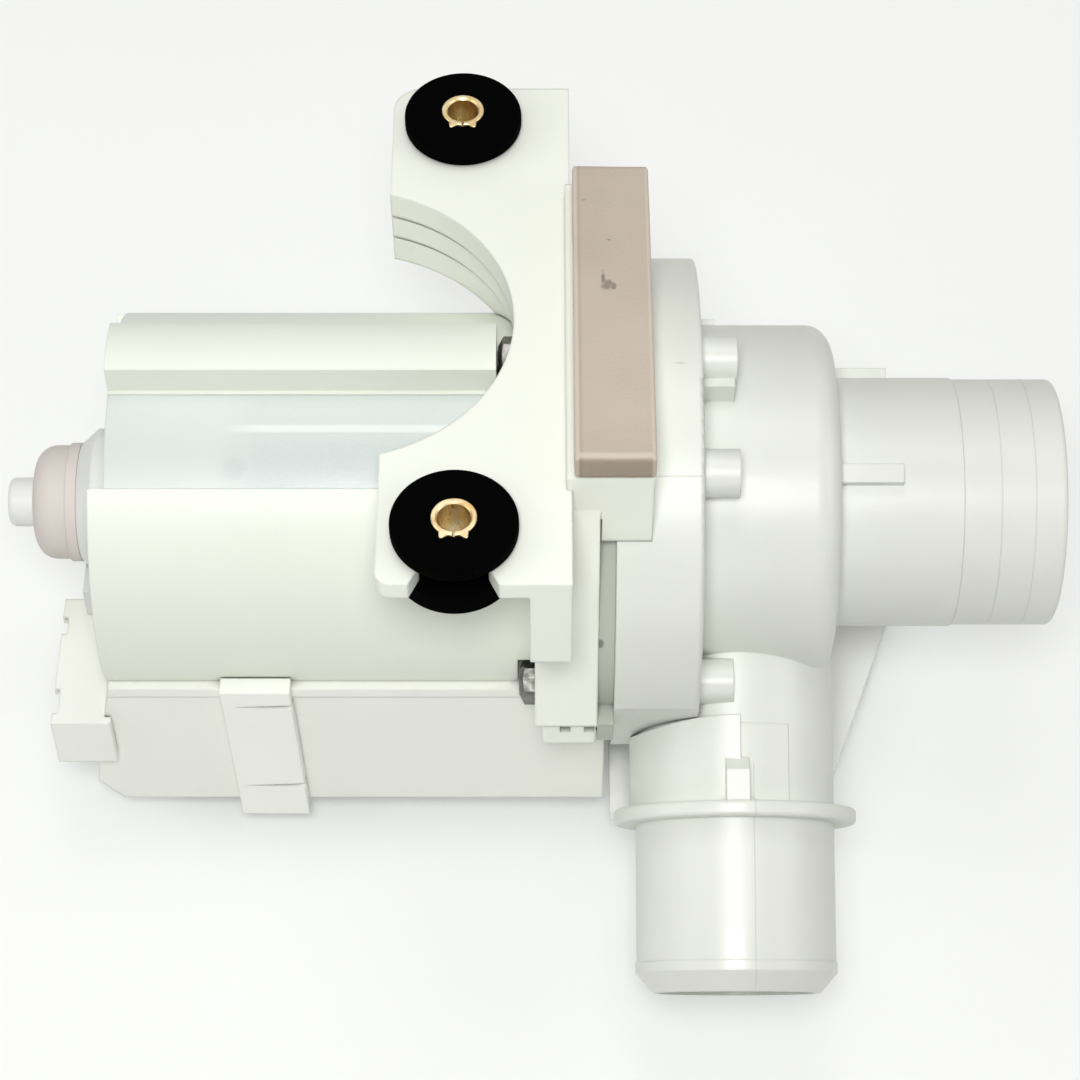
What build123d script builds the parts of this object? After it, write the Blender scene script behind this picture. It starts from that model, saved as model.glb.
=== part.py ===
from build123d import *
import math
import os

# Drain pump of a washing machine, in millimetres.
# +X runs along the motor shaft towards the inlet, +Z is the axis of the rubber mounts,
# and the outlet leaves towards -Y. The origin is on the shaft axis, where the inlet
# spigot leaves the drum of the volute. Angles round the shaft are counted from -Y to +Z.

# Volute: inlet spigot, drum and flange ring
inlet_length = 45.0
inlet_radius = 25.0
inlet_root_radius = 25.3
inlet_root_length = 24.6
inlet_bore_radius = 22.4
inlet_rim_round = 1.0
rib_length = 12.5
rib_height = 2.7
rib_width = 3.8
rib_angles = (64.0, 154.0, 244.0)
drum_length = 27.5
drum_radius = 36.0
drum_wall = 2.6
drum_round = 5.0
ring_thickness = 16.6
ring_radius = 49.5
ring_wall = 2.7
ring_front_wall = 3.0
ring_round = 0.8
ring_core_step = 4.0
flat_start_angle = -2.0
flat_end_angle = -38.0
pedestal_length = 6.6
pedestal_front_y = -3.2
pedestal_back_y = 9.0
pedestal_top_z = 40.4
nub_length = 4.4
nub_width = 3.0
nub_height = 1.2
nub_angle = 143.0

# Outlet spigot, measured along its own axis from the point nearest the shaft axis
outlet_x = -19.2
outlet_dip = 26.7
outlet_drop = 5.5
outlet_reach = 99.0
outlet_radius = 20.0
outlet_bore_radius = 15.6
neck_start = 24.0
collar_start = 62.4
collar_thickness = 3.0
collar_radius = 24.4
collar_round = 0.8
bead_radius = 20.2
bead_width = 2.0
nose_length = 4.0
nose_radius = 16.8
bulge_radius = 21.2
bulge_start = 30.0
bulge_cut_step = 1.5
panel_height = 0.3
panel_start = 47.0
panel_width = 9.6
key_length = 8.6
key_width = 4.6
key_height = 3.4
key_offset = 0.7
key_slope = 2.6

# Screw posts and screws that clamp volute, back plate and bracket together
post_reach = 40.6
post_radius = 4.65
post_length = 7.0
screw_angles = (95.0, 182.0, 266.0, 351.5)
blind_post_angle = 60.0
screw_radius = 2.0
screw_head_radius = 4.6
screw_top_radius = 2.6
screw_top_spread = 7.8
screw_flange_radius = 5.0
screw_flange_thickness = 0.8
screw_head_height = 4.2
screw_clearance = 0.15
screw_spot_depth = 1.1
screw_bite = 12.0

# Back plate of the pump chamber with its seals
plate_thickness = 3.2
plate_step = 3.5
plate_hub_radius = 12.0
plate_hub_length = 5.0
plate_tab_height = 0.7
plate_tab_start = -8.0
plate_tab_end = -18.0
chamber_ring_radius = 1.0
seal_radius = 9.0
seal_length = 6.4
seal_pocket_radius = 6.75
running_gap = 0.08
fit_gap = 0.3

# Mounting bracket
web_thickness = 12.2
web_floor = 3.2
web_wall = 2.8
web_front_step = 0.5
web_back_y = 47.0
web_top_drop = 6.0
web_low_z = -47.0
web_step_z = -7.3
web_corner = 15.7
hook_height = 7.0
hook_inset = 1.4
hook_slot_depth = 3.0
hook_slot_width = 2.0
hook_depth = 7.0
hook_slot_shares = (0.42, 0.86)
spine_left_x = -63.5
spine_right_x = -52.6
spine_nose_x = -60.3
spine_nose_z = 25.8
spine_low_z = 29.0
deck_rise = 0.5
deck_thickness = 4.0
lug_left_x = -88.2
near_lug_front_y = -57.5
far_lug_back_y = 68.2
lug_corner_round = 3.0
far_lug_corner_round = 6.0
notch_centre_x = -97.7
notch_centre_y = 5.5
notch_radius = 34.2
tier_height = 7.0
tier_inset = 1.0
tier_groove = 0.7
far_skirt_back_y = 45.0
saddle_right_x = -37.5
saddle_front_y = -36.0
saddle_back_y = 38.0
saddle_rise = 3.8
saddle_low_z = 33.3
pad_thickness = 5.7
pad_overhang = 0.3

# Rubber grommets and rolled sleeves
grommet_x = -74.0
grommet_near_y = -45.5
grommet_far_y = 57.5
grommet_radius = 11.75
grommet_neck_radius = 7.3
grommet_top_flange = 4.0
grommet_low_flange = 6.0
grommet_round = 1.2
lug_hole_radius = 7.6
throat_half_width = 6.3
mouth_half_width = 8.2
mouth_depth = 4.0
sleeve_radius = 4.22
sleeve_bore_radius = 3.05
sleeve_recess = 1.2
sleeve_seam = 0.5

# Motor housing, window cover and rail
motor_radius = 38.5
motor_wall = 2.6
motor_rear_x = -145.0
motor_front_x = -60.0
motor_front_wall = 3.6
register_step = 4.5
register_wall = 2.4
rear_step = 3.0
window_low_angle = 56.0
window_high_angle = 85.0
window_seat_depth = 1.5
window_cover_step = 0.4
window_margin_angle = 3.0
window_margin_x = 4.0
rail_front_y = -2.5
rail_back_y = 10.5
rail_front_height = 6.0
rail_back_height = 4.8
rail_crown = 1.3
rail_right_gap = 0.3

# Rear end bell, cap and plug
bell_disc_thickness = 2.6
bell_boss_radius = 15.0
bell_boss_x = -148.2
bell_nose_radius = 12.0
bell_nose_x = -151.5
bell_tower_depth = 8.0
bell_tower_front_y = -14.0
bell_tower_low_z = -20.0
bell_tower_height = 8.0
bell_tower_x = -152.0
cap_radius = 11.6
cap_length = 9.3
cap_round = 4.2
cap_wall = 2.0
cap_ring_height = 0.5
cap_ring_width = 2.2
plug_radius = 5.0
plug_stem_radius = 3.0
plug_length = 5.6
plug_round = 1.2

# Box under the motor, its clip and its connector
box_front_step = 0.8
box_back_y = -5.0
box_top_z = -10.3
box_low_drop = 12.7
box_right_x = -45.4
box_top_left_x = -144.5
box_low_left_x = -150.5
box_undercut_height = 6.7
box_undercut = 5.0
box_wall = 1.8
box_rim_height = 2.6
box_rim_step = 0.5
clip_left_x = -122.0
clip_width = 14.0
clip_slant = 1.2
clip_thickness = 2.4
clip_top_z = -8.2
clip_hook_depth = 4.0
clip_low_thickness = 1.9
clip_low_back_y = -20.0
clip_slit_height = 1.7
clip_slit_z_high = -13.0
clip_slit_z_low = -42.0
clip_slit_margin = 2.6
connector_left_x = -157.0
connector_front_y = -41.0
connector_back_y = -10.0
connector_top_z = -20.0
connector_low_z = -34.0
connector_wall = 2.0
connector_depth = 9.0
cavity_spans = ((-21.5, -12.0), (-39.0, -27.0))
cavity_notches = ((-18.9, -14.7), (-38.4, -32.5))
cavity_notch_depth = 1.2
blade_width = 6.3
blade_thickness = 0.8
blade_length = 7.0
blade_places = (-16.75, -30.0, -36.0)
capacitor_radius = 8.6
capacitor_length = 58.0
capacitor_left_gap = 6.0

# Support plate under the volute
foot_thickness = 3.0
foot_left_x = -43.9
foot_front_y = -43.5
foot_back_y = 12.0
foot_right_far_x = 19.8
foot_right_near_x = 2.0
foot_bay_y = -38.0
foot_prong_width = 6.5
foot_lip_height = 2.2
foot_lip_length = 4.0
foot_post_radius = 4.5
foot_post_places = ((-8.0, 5.0), (-22.5, 5.0))
foot_screw_radius = 1.7
foot_screw_head_radius = 3.4
foot_screw_head_height = 1.6
foot_screw_length = 11.0

# Inside the motor
shaft_radius = 3.0
shaft_flat_depth = 0.6
shaft_rear_x = -150.0
shaft_front_x = -30.0
bearing_radius = 8.0
bearing_length = 5.0
rear_bearing_x = -149.2
front_bearing_x = -59.5
core_rear_gap = 17.0
core_length = 44.0
rotor_radius = 17.0
air_gap = 0.5
end_ring_length = 3.0
end_ring_bore_radius = 10.0
yoke_thickness = 5.9
tooth_width = 12.0
shoe_width = 20.0
shoe_height = 2.6
tooth_count = 4
first_tooth_angle = 45.0
bobbin_wall = 1.0
coil_depth = 4.2
washer_radius = 5.5
washer_thickness = 1.0

# Impeller
impeller_radius = 29.0
impeller_disc_thickness = 2.0
impeller_back_gap = 0.6
impeller_hub_radius = 7.0
impeller_nose_x = -25.0
vane_height = 13.0
vane_thickness = 1.9
vane_count = 7
vane_lean = 18.0
vane_offset = 2.3

cut_overrun = 1.0

# Stations along the shaft, worked out from the stack of pieces
ring_right_x = -drum_length
ring_left_x = ring_right_x - ring_thickness
plate_left_x = ring_left_x - plate_thickness
web_right_x = plate_left_x
web_left_x = web_right_x - web_thickness
head_seat_high_x = spine_left_x + screw_spot_depth
head_seat_low_x = web_left_x + screw_spot_depth
cap_end_x = bell_nose_x - cap_length
core_left_x = motor_rear_x + core_rear_gap
core_right_x = core_left_x + core_length

# Radii and faces that follow the ring and the motor
ring_core_radius = ring_radius - ring_core_step
bulge_cut_radius = ring_radius - bulge_cut_step
plate_radius = ring_radius - plate_step
plate_tab_radius = ring_radius + plate_tab_height
web_front_y = -ring_radius - web_front_step
deck_top_z = ring_radius + deck_rise
saddle_top_z = ring_radius + saddle_rise
web_top_z = deck_top_z - web_top_drop
rail_front_z = motor_radius + rail_front_height
rail_back_z = motor_radius + rail_back_height
window_seat_radius = motor_radius - window_seat_depth
window_cover_radius = motor_radius - window_cover_step
register_radius = motor_radius - register_step
stator_yoke_inner_radius = motor_radius - motor_wall - yoke_thickness
box_front_y = -motor_radius - box_front_step
box_low_z = -motor_radius - box_low_drop
box_undercut_z = box_low_z + box_undercut_height

# Bobbin ends between the pole shoes and the yoke
bobbin_low_radius = rotor_radius + air_gap + shoe_height + fit_gap
bobbin_half_width = tooth_width / 2 + coil_depth
bobbin_high_radius = math.sqrt(stator_yoke_inner_radius ** 2 - bobbin_half_width ** 2) - running_gap


def along_x(radius, x_low, x_high, y=0.0, z=0.0):
    """Cylinder round an axis parallel to the shaft."""
    solid = Cylinder(radius, x_high - x_low, align=(Align.CENTER, Align.CENTER, Align.MIN))
    return Pos(x_low, y, z) * (Rot(0, 90, 0) * solid)


def tube_x(outer_radius, inner_radius, x_low, x_high, y=0.0, z=0.0):
    """Tube round an axis parallel to the shaft."""
    bore = along_x(inner_radius, x_low - cut_overrun, x_high + cut_overrun, y, z)
    return along_x(outer_radius, x_low, x_high, y, z) - bore


def along_z(radius, z_low, z_high, x, y):
    """Upright cylinder."""
    solid = Cylinder(radius, z_high - z_low, align=(Align.CENTER, Align.CENTER, Align.MIN))
    return Pos(x, y, z_low) * solid


def block(x_low, x_high, y_low, y_high, z_low, z_high):
    """Box between two opposite corners."""
    solid = Box(x_high - x_low, y_high - y_low, z_high - z_low)
    return Pos((x_low + x_high) / 2, (y_low + y_high) / 2, (z_low + z_high) / 2) * solid


def polar(radius, degrees):
    """Y and Z of a point at an angle round the shaft, counted from -Y to +Z."""
    turn = math.radians(degrees)
    return -radius * math.cos(turn), radius * math.sin(turn)


def sector(radius, x_low, x_high, low_degrees, high_degrees):
    """Wedge of a disc round the shaft between two angles."""
    middle = (low_degrees + high_degrees) / 2
    with BuildLine(Plane.YZ) as line:
        Polyline((0, 0), polar(radius, low_degrees))
        ThreePointArc(polar(radius, low_degrees), polar(radius, middle), polar(radius, high_degrees))
        Polyline(polar(radius, high_degrees), (0, 0))
    face = make_face(line.edges())
    return Pos(x_low, 0, 0) * extrude(face, amount=x_high - x_low, dir=(1, 0, 0))


def yz_prism(points, x_low, x_high):
    """Prism along the shaft over a closed outline of Y and Z."""
    with BuildLine(Plane.YZ) as line:
        Polyline(*points, close=True)
    return Pos(x_low, 0, 0) * extrude(make_face(line.edges()), amount=x_high - x_low, dir=(1, 0, 0))


def xz_prism(points, y_low, y_high):
    """Prism along Y over a closed outline of X and Z."""
    outline = [(x, y_low, z) for x, z in points]
    wire = Polyline(*outline, close=True)
    return extrude(make_face(wire.edges()), amount=y_high - y_low, dir=(0, 1, 0))


def xy_prism(points, z_low, z_high):
    """Upright prism over a closed outline of X and Y."""
    outline = [(x, y, z_low) for x, y in points]
    wire = Polyline(*outline, close=True)
    return extrude(make_face(wire.edges()), amount=z_high - z_low, dir=(0, 0, 1))


def outlet_frame():
    """Frame whose Z runs along the outlet axis and whose X is the shaft's."""
    dip = math.radians(outlet_dip)
    direction = Vector(0, -math.cos(dip), -math.sin(dip))
    start = Vector(outlet_x, outlet_drop * math.sin(dip), -outlet_drop * math.cos(dip))
    return Plane(origin=start, x_dir=(1, 0, 0), z_dir=direction)


def outlet_cylinder(radius, low, high):
    """Cylinder on the outlet axis between two distances."""
    solid = Cylinder(radius, high - low, align=(Align.CENTER, Align.CENTER, Align.MIN))
    return outlet_frame() * (Pos(0, 0, low) * solid)


def outlet_cone(low_radius, high_radius, low, high):
    """Cone on the outlet axis between two distances."""
    solid = Cone(low_radius, high_radius, high - low, align=(Align.CENTER, Align.CENTER, Align.MIN))
    return outlet_frame() * (Pos(0, 0, low) * solid)


def inlet_spigot():
    """Inlet pipe with its rounded rim and the ribs that stop the hose."""
    pipe = along_x(inlet_radius, -drum_wall, inlet_length)
    rim = pipe.edges().filter_by(GeomType.CIRCLE).sort_by(Axis.X)[-1]
    pipe = fillet(rim, inlet_rim_round)
    pipe += along_x(inlet_root_radius, -drum_wall, inlet_root_length)
    for angle in rib_angles:
        rib = block(-drum_wall, rib_length, -inlet_radius - rib_height, -inlet_bore_radius,
                    -rib_width / 2, rib_width / 2)
        pipe += Rot(-angle, 0, 0) * rib
    return pipe


def drum_and_ring():
    """Rounded drum on its flange ring, with a flat on the ring beside the outlet."""
    drum = along_x(drum_radius, ring_right_x - cut_overrun, 0)
    drum = fillet(drum.edges().filter_by(GeomType.CIRCLE).sort_by(Axis.X)[-1], drum_round)
    ring = along_x(ring_radius, ring_left_x, ring_right_x)
    ring = fillet(ring.edges().filter_by(GeomType.CIRCLE).sort_by(Axis.X)[-1], ring_round)
    outside = ring_radius + ring_wall
    flat = yz_prism([
        polar(ring_radius, flat_start_angle),
        polar(ring_radius, flat_end_angle),
        polar(outside, flat_end_angle),
        polar(outside, flat_start_angle),
    ], ring_left_x - cut_overrun, ring_right_x + cut_overrun)
    pedestal = block(ring_right_x - cut_overrun, ring_right_x + pedestal_length,
                     pedestal_front_y, pedestal_back_y, drum_radius - drum_wall, pedestal_top_z)
    nub = block(ring_right_x - cut_overrun, ring_right_x + nub_length,
                -drum_radius - nub_height, -drum_radius + drum_wall / 2, -nub_width / 2, nub_width / 2)
    return drum + (ring - flat) + pedestal + Rot(-nub_angle, 0, 0) * nub


def outlet_spigot():
    """Outlet pipe with its collar, bead, nose, key and the bulge of its left half."""
    pipe = outlet_cylinder(outlet_radius, neck_start, outlet_reach - nose_length - bead_width / 2)
    collar = outlet_cylinder(collar_radius, collar_start, collar_start + collar_thickness)
    collar = fillet(collar.edges().filter_by(GeomType.CIRCLE), collar_round)
    bead_low = outlet_reach - nose_length - bead_width
    bead = outlet_cylinder(bead_radius, bead_low, outlet_reach - nose_length)
    nose = outlet_cone(bead_radius, nose_radius, outlet_reach - nose_length, outlet_reach)
    bulge = outlet_cylinder(bulge_radius, bulge_start, collar_start)
    right_half = Box(2 * collar_radius, 4 * collar_radius, 2 * outlet_reach)
    bulge -= outlet_frame() * (Pos(collar_radius, 0, collar_start) * right_half)
    bulge -= along_x(bulge_cut_radius, 2 * ring_left_x, 0)
    panel = outlet_cylinder(outlet_radius + panel_height, panel_start, collar_start)
    panel_half = Box(panel_width, collar_radius, collar_start, align=(Align.MIN, Align.MIN, Align.MIN))
    panel &= outlet_frame() * panel_half
    key = Box(key_width, key_height + bead_width, key_length, align=(Align.CENTER, Align.MIN, Align.MAX))
    slope_edge = key.edges().filter_by(Axis.X).sort_by(lambda edge: edge.center().Y - edge.center().Z)[-1]
    key = chamfer(slope_edge, key_slope)
    key_seat = outlet_radius - bead_width
    key = outlet_frame() * (Pos(-key_offset, key_seat, collar_start) * key)
    return pipe + collar + bead + nose + bulge + panel + key


def chamber_void():
    """Water space: inlet bore, drum, and the outlet bore."""
    space = along_x(inlet_bore_radius, -2 * drum_wall, inlet_length + cut_overrun)
    space += along_x(drum_radius - drum_wall, ring_left_x - cut_overrun, -drum_wall)
    space += outlet_cylinder(outlet_bore_radius, outlet_drop, outlet_reach + cut_overrun)
    return space


def ring_cores():
    """Hollow of the flange ring behind its front wall, open towards the back plate."""
    core = tube_x(ring_radius - ring_wall, drum_radius, ring_left_x - cut_overrun,
                  ring_right_x - ring_front_wall)
    core &= along_x(ring_core_radius, ring_left_x - cut_overrun, 0)
    for angle in screw_angles + (blind_post_angle,):
        y, z = polar(post_reach, angle)
        core -= along_x(post_radius, ring_left_x - 2 * cut_overrun, ring_right_x, y, z)
    return core - outlet_cylinder(outlet_radius, 0, outlet_reach)


def volute_housing():
    """One moulding: spigots, drum, flange ring, screw posts and plate posts."""
    body = drum_and_ring() + inlet_spigot() + outlet_spigot()
    for angle in screw_angles + (blind_post_angle,):
        y, z = polar(post_reach, angle)
        body += along_x(post_radius, ring_right_x - cut_overrun, ring_right_x + post_length, y, z)
    for x, y in foot_post_places:
        body += along_z(foot_post_radius, -ring_radius, -drum_radius + drum_wall, x, y)
    body -= ring_cores()
    body -= chamber_void()
    for angle in screw_angles:
        y, z = polar(post_reach, angle)
        body -= along_x(screw_radius + screw_clearance, ring_left_x - cut_overrun,
                        ring_left_x + screw_bite + cut_overrun, y, z)
    for x, y in foot_post_places:
        body -= along_z(foot_screw_radius + screw_clearance, -ring_radius - cut_overrun,
                        -ring_radius - foot_thickness + foot_screw_length + cut_overrun, x, y)
    return body


def chamber_back_plate():
    """Grey plate behind the ring, with a hub for the shaft seal and a front tab."""
    plate = along_x(plate_radius, plate_left_x, ring_left_x)
    plate += along_x(plate_hub_radius, plate_left_x - plate_hub_length, plate_left_x)
    tab = sector(plate_tab_radius, plate_left_x, ring_left_x, plate_tab_end, plate_tab_start)
    plate += tab
    seal_left = ring_left_x - seal_length
    plate -= along_x(seal_radius, seal_left, ring_left_x + cut_overrun)
    plate -= along_x(shaft_radius + cut_overrun, plate_left_x - 2 * plate_hub_length, seal_left + cut_overrun)
    groove_radius = drum_radius - drum_wall / 2
    plate -= tube_x(groove_radius + chamber_ring_radius, groove_radius - chamber_ring_radius,
                    ring_left_x - 2 * chamber_ring_radius, ring_left_x + cut_overrun)
    for angle in screw_angles:
        y, z = polar(post_reach, angle)
        plate -= along_x(screw_radius + screw_clearance, plate_left_x - cut_overrun,
                         ring_left_x + cut_overrun, y, z)
    return plate


def chamber_seal_ring():
    """Round rubber ring in the back plate's groove."""
    ring = Torus(drum_radius - drum_wall / 2, chamber_ring_radius)
    return Pos(ring_left_x - chamber_ring_radius, 0, 0) * (Rot(0, 90, 0) * ring)


def shaft_seal():
    """Rubber seal round the shaft with a thin lip towards the water."""
    lip_length = seal_length / 3
    seal = tube_x(seal_radius, shaft_radius + running_gap, ring_left_x - seal_length, ring_left_x)
    pocket = tube_x(seal_pocket_radius, shaft_radius + lip_length / 2,
                    ring_left_x - lip_length, ring_left_x + cut_overrun)
    return seal - pocket


def web_outline():
    """Outline of the upright web, sloping out to its front foot and stepped in over the box."""
    return [
        (saddle_front_y, web_top_z),
        (web_front_y, web_step_z),
        (box_back_y + fit_gap, web_step_z),
        (box_back_y + fit_gap, web_low_z),
        (web_back_y - web_corner, web_low_z),
        (web_back_y, web_low_z + web_corner),
        (web_back_y, web_top_z),
    ]


def bracket_web():
    """Web open towards the back plate, with posts round its screws and a hub for the bearing."""
    web = yz_prism(web_outline(), web_left_x, web_right_x)
    pocket_points = [
        (saddle_front_y + web_wall, web_top_z - web_wall),
        (web_front_y + web_wall, web_step_z + web_wall),
        (box_back_y + fit_gap + web_wall, web_step_z + web_wall),
        (box_back_y + fit_gap + web_wall, web_low_z + web_wall),
        (web_back_y - web_corner - web_wall, web_low_z + web_wall),
        (web_back_y - web_wall, web_low_z + web_corner + web_wall),
        (web_back_y - web_wall, web_top_z - web_wall),
    ]
    pocket = yz_prism(pocket_points, web_left_x + web_floor, web_right_x + cut_overrun)
    hub_radius = plate_hub_radius + web_wall
    pocket -= along_x(hub_radius, web_left_x, web_right_x + 2 * cut_overrun)
    for angle in screw_angles:
        y, z = polar(post_reach, angle)
        pocket -= along_x(post_radius, web_left_x, web_right_x + 2 * cut_overrun, y, z)
    return web - pocket


def bracket_hook():
    """Stepped hook below the web's front corner, with two small slots in its top."""
    front = web_front_y + web_wall / 4
    top = web_step_z
    hook = block(web_left_x + hook_inset, web_right_x - fit_gap, front, front + hook_depth,
                 top - hook_height, top)
    for share in hook_slot_shares:
        middle = web_left_x + hook_inset + share * (web_thickness - hook_inset)
        hook -= block(middle - hook_slot_width / 2, middle + hook_slot_width / 2, front - cut_overrun,
                      front + hook_depth - web_wall, top - hook_slot_depth, top + cut_overrun)
    return hook


def notch_wall(low_z, high_z, radius):
    """Round cut-out of the bracket above the motor, one tier of it."""
    return along_z(radius, low_z, high_z, notch_centre_x, notch_centre_y)


def lug_slot(y, opening_sign, edge_y):
    """Keyhole for a grommet: round seat, throat and flared mouth."""
    low = deck_top_z - deck_thickness - cut_overrun
    high = deck_top_z + cut_overrun
    slot = along_z(lug_hole_radius, low, high, grommet_x, y)
    reach = edge_y + opening_sign * cut_overrun
    mouth = edge_y - opening_sign * mouth_depth
    slot += xy_prism([
        (grommet_x - throat_half_width, y),
        (grommet_x - throat_half_width, mouth),
        (grommet_x - mouth_half_width, edge_y),
        (grommet_x - mouth_half_width, reach),
        (grommet_x + mouth_half_width, reach),
        (grommet_x + mouth_half_width, edge_y),
        (grommet_x + throat_half_width, mouth),
        (grommet_x + throat_half_width, y),
    ], low, high)
    return slot


def bracket_deck():
    """Flat deck with its two lugs, the thick wall behind the cut-out and the spine."""
    deck_low = deck_top_z - deck_thickness
    near = block(lug_left_x, spine_right_x, near_lug_front_y, notch_centre_y, deck_low, deck_top_z)
    near_edge = near.edges().filter_by(Axis.Z).sort_by(Axis.X)[0:2].sort_by(Axis.Y)[0]
    near = fillet(near_edge, lug_corner_round)
    far = block(lug_left_x, spine_right_x, notch_centre_y, far_lug_back_y, deck_low, deck_top_z)
    far_edge = far.edges().filter_by(Axis.Z).sort_by(Axis.X)[0:2].sort_by(Axis.Y)[-1]
    far = fillet(far_edge, far_lug_corner_round)
    skirt = block(lug_left_x, spine_right_x, notch_centre_y, far_skirt_back_y,
                  deck_top_z - 3 * tier_height, deck_low)
    spine_front_y = grommet_near_y + grommet_radius + fit_gap
    spine = block(spine_left_x, spine_right_x, spine_front_y, far_skirt_back_y, spine_low_z, deck_low)
    nose = block(spine_nose_x, spine_right_x, near_lug_front_y, spine_front_y, spine_nose_z, deck_top_z)
    return near + far + skirt + spine + nose


def bracket_cuts():
    """Round cut-out in three tiers, grooves between them, grommet slots and motor clearances."""
    cuts = []
    for tier in range(3):
        high = deck_top_z - tier * tier_height
        radius = notch_radius + tier * tier_inset
        cuts.append(notch_wall(high - tier_height, high + cut_overrun, radius))
        if tier:
            cuts.append(notch_wall(high - tier_groove, high + tier_groove / 2, radius + tier_groove))
    cuts.append(lug_slot(grommet_near_y, -1, near_lug_front_y))
    cuts.append(lug_slot(grommet_far_y, 1, far_lug_back_y))
    return cuts


def pad_saddle():
    """Block over the flange ring that carries the foam pad."""
    saddle = block(spine_right_x - cut_overrun, saddle_right_x, saddle_front_y, saddle_back_y,
                   saddle_low_z, saddle_top_z)
    over_web = block(spine_right_x - 2 * cut_overrun, web_right_x + fit_gap, saddle_front_y - cut_overrun,
                     saddle_back_y + cut_overrun, saddle_low_z - cut_overrun, web_top_z - web_wall)
    return saddle - along_x(ring_radius + fit_gap, plate_left_x - fit_gap, 0) - over_web


def mounting_bracket():
    """Bracket: web, hook, deck, spine and saddle in one moulding."""
    deck = bracket_deck()
    for cut in bracket_cuts():
        deck -= cut
    deck -= along_x(motor_radius + fit_gap, motor_rear_x, motor_front_x + fit_gap)
    bracket = deck + bracket_web() + bracket_hook() + pad_saddle()
    bracket -= along_x(register_radius + fit_gap, spine_left_x - cut_overrun, web_left_x)
    bracket -= along_x(plate_hub_radius + running_gap, plate_left_x - plate_hub_length,
                       web_right_x + cut_overrun)
    bearing_right = front_bearing_x + bearing_length
    bracket -= along_x(bearing_radius, web_left_x - cut_overrun, bearing_right)
    bracket -= along_x(shaft_radius + cut_overrun, bearing_right - cut_overrun, web_right_x)
    for angle in screw_angles:
        y, z = polar(post_reach, angle)
        bracket -= along_x(screw_radius + screw_clearance, spine_left_x - cut_overrun,
                           web_right_x + cut_overrun, y, z)
        seat = head_seat_high_x if z > spine_low_z else head_seat_low_x
        bracket -= along_x(screw_flange_radius + fit_gap, seat - 2 * screw_head_height, seat, y, z)
    return bracket


def foam_pad():
    """Flat foam strip on the saddle."""
    left = spine_right_x + pad_overhang
    return block(left, saddle_right_x + pad_overhang, saddle_front_y, saddle_back_y,
                 saddle_top_z, saddle_top_z + pad_thickness)


def grommet(y):
    """Rubber mount with a waist that grips the lug."""
    low = deck_top_z - deck_thickness - grommet_low_flange
    high = deck_top_z + grommet_top_flange
    body = along_z(grommet_neck_radius, low, high, grommet_x, y)
    for flange_low, flange_high in ((low, deck_top_z - deck_thickness), (deck_top_z, high)):
        flange = along_z(grommet_radius, flange_low, flange_high, grommet_x, y)
        body += fillet(flange.edges().filter_by(GeomType.CIRCLE), grommet_round)
    return body - along_z(sleeve_radius, low - cut_overrun, high + cut_overrun, grommet_x, y)


def rolled_sleeve(y):
    """Rolled metal sleeve with an open seam towards the front."""
    low = deck_top_z - deck_thickness - grommet_low_flange
    high = deck_top_z + grommet_top_flange - sleeve_recess
    sleeve = along_z(sleeve_radius, low, high, grommet_x, y)
    sleeve -= along_z(sleeve_bore_radius, low - cut_overrun, high + cut_overrun, grommet_x, y)
    seam = block(grommet_x - sleeve_seam / 2, grommet_x + sleeve_seam / 2, y - sleeve_radius - cut_overrun,
                 y, low - cut_overrun, high + cut_overrun)
    return sleeve - seam


def flange_screw(angle):
    """Hex flange screw whose chamfered head faces the motor."""
    y, z = polar(post_reach, angle)
    seat = head_seat_high_x if z > spine_low_z else head_seat_low_x
    tip = ring_left_x + screw_bite
    head = extrude(RegularPolygon(screw_head_radius, 6), amount=screw_head_height)
    head &= Cone(screw_top_radius, screw_top_radius + screw_top_spread, screw_head_height,
                 align=(Align.CENTER, Align.CENTER, Align.MIN))
    screw = Pos(seat - screw_head_height, y, z) * (Rot(0, 90, 0) * head)
    screw += along_x(screw_flange_radius, seat - screw_flange_thickness, seat, y, z)
    return screw + along_x(screw_radius, seat, tip, y, z)


def motor_housing():
    """Shell round the motor, with a stepped seat for the window cover and a front register."""
    inner = motor_radius - motor_wall
    shell = tube_x(motor_radius, inner, motor_rear_x, motor_front_x)
    front_low = motor_front_x - motor_front_wall
    shell += tube_x(motor_radius, register_radius - register_wall, front_low, motor_front_x)
    shell += tube_x(register_radius, register_radius - register_wall, front_low, web_left_x)
    seat = sector(motor_radius + cut_overrun, motor_rear_x + rear_step, front_low,
                  window_low_angle, window_high_angle)
    seat -= along_x(window_seat_radius, motor_rear_x, motor_front_x)
    opening = sector(motor_radius + cut_overrun, motor_rear_x + rear_step + window_margin_x,
                     front_low - window_margin_x, window_low_angle + window_margin_angle,
                     window_high_angle - window_margin_angle)
    opening -= along_x(inner - cut_overrun, motor_rear_x, motor_front_x)
    step = sector(motor_radius + cut_overrun, motor_rear_x - cut_overrun, motor_rear_x + rear_step,
                  window_low_angle, window_low_angle + 90.0)
    shell = shell - seat - opening - step
    for angle in screw_angles:
        y, z = polar(post_reach, angle)
        seat = head_seat_high_x if z > spine_low_z else head_seat_low_x
        shell -= along_x(screw_flange_radius + fit_gap, seat - screw_head_height - fit_gap,
                         web_left_x + cut_overrun, y, z)
    return shell


def window_cover():
    """Translucent strip in the motor shell's seat."""
    low_x = motor_rear_x + rear_step
    high_x = motor_front_x - motor_front_wall
    strip = sector(window_cover_radius, low_x, high_x, window_low_angle, window_high_angle)
    return strip - along_x(window_seat_radius, low_x - cut_overrun, high_x + cut_overrun)


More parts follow.
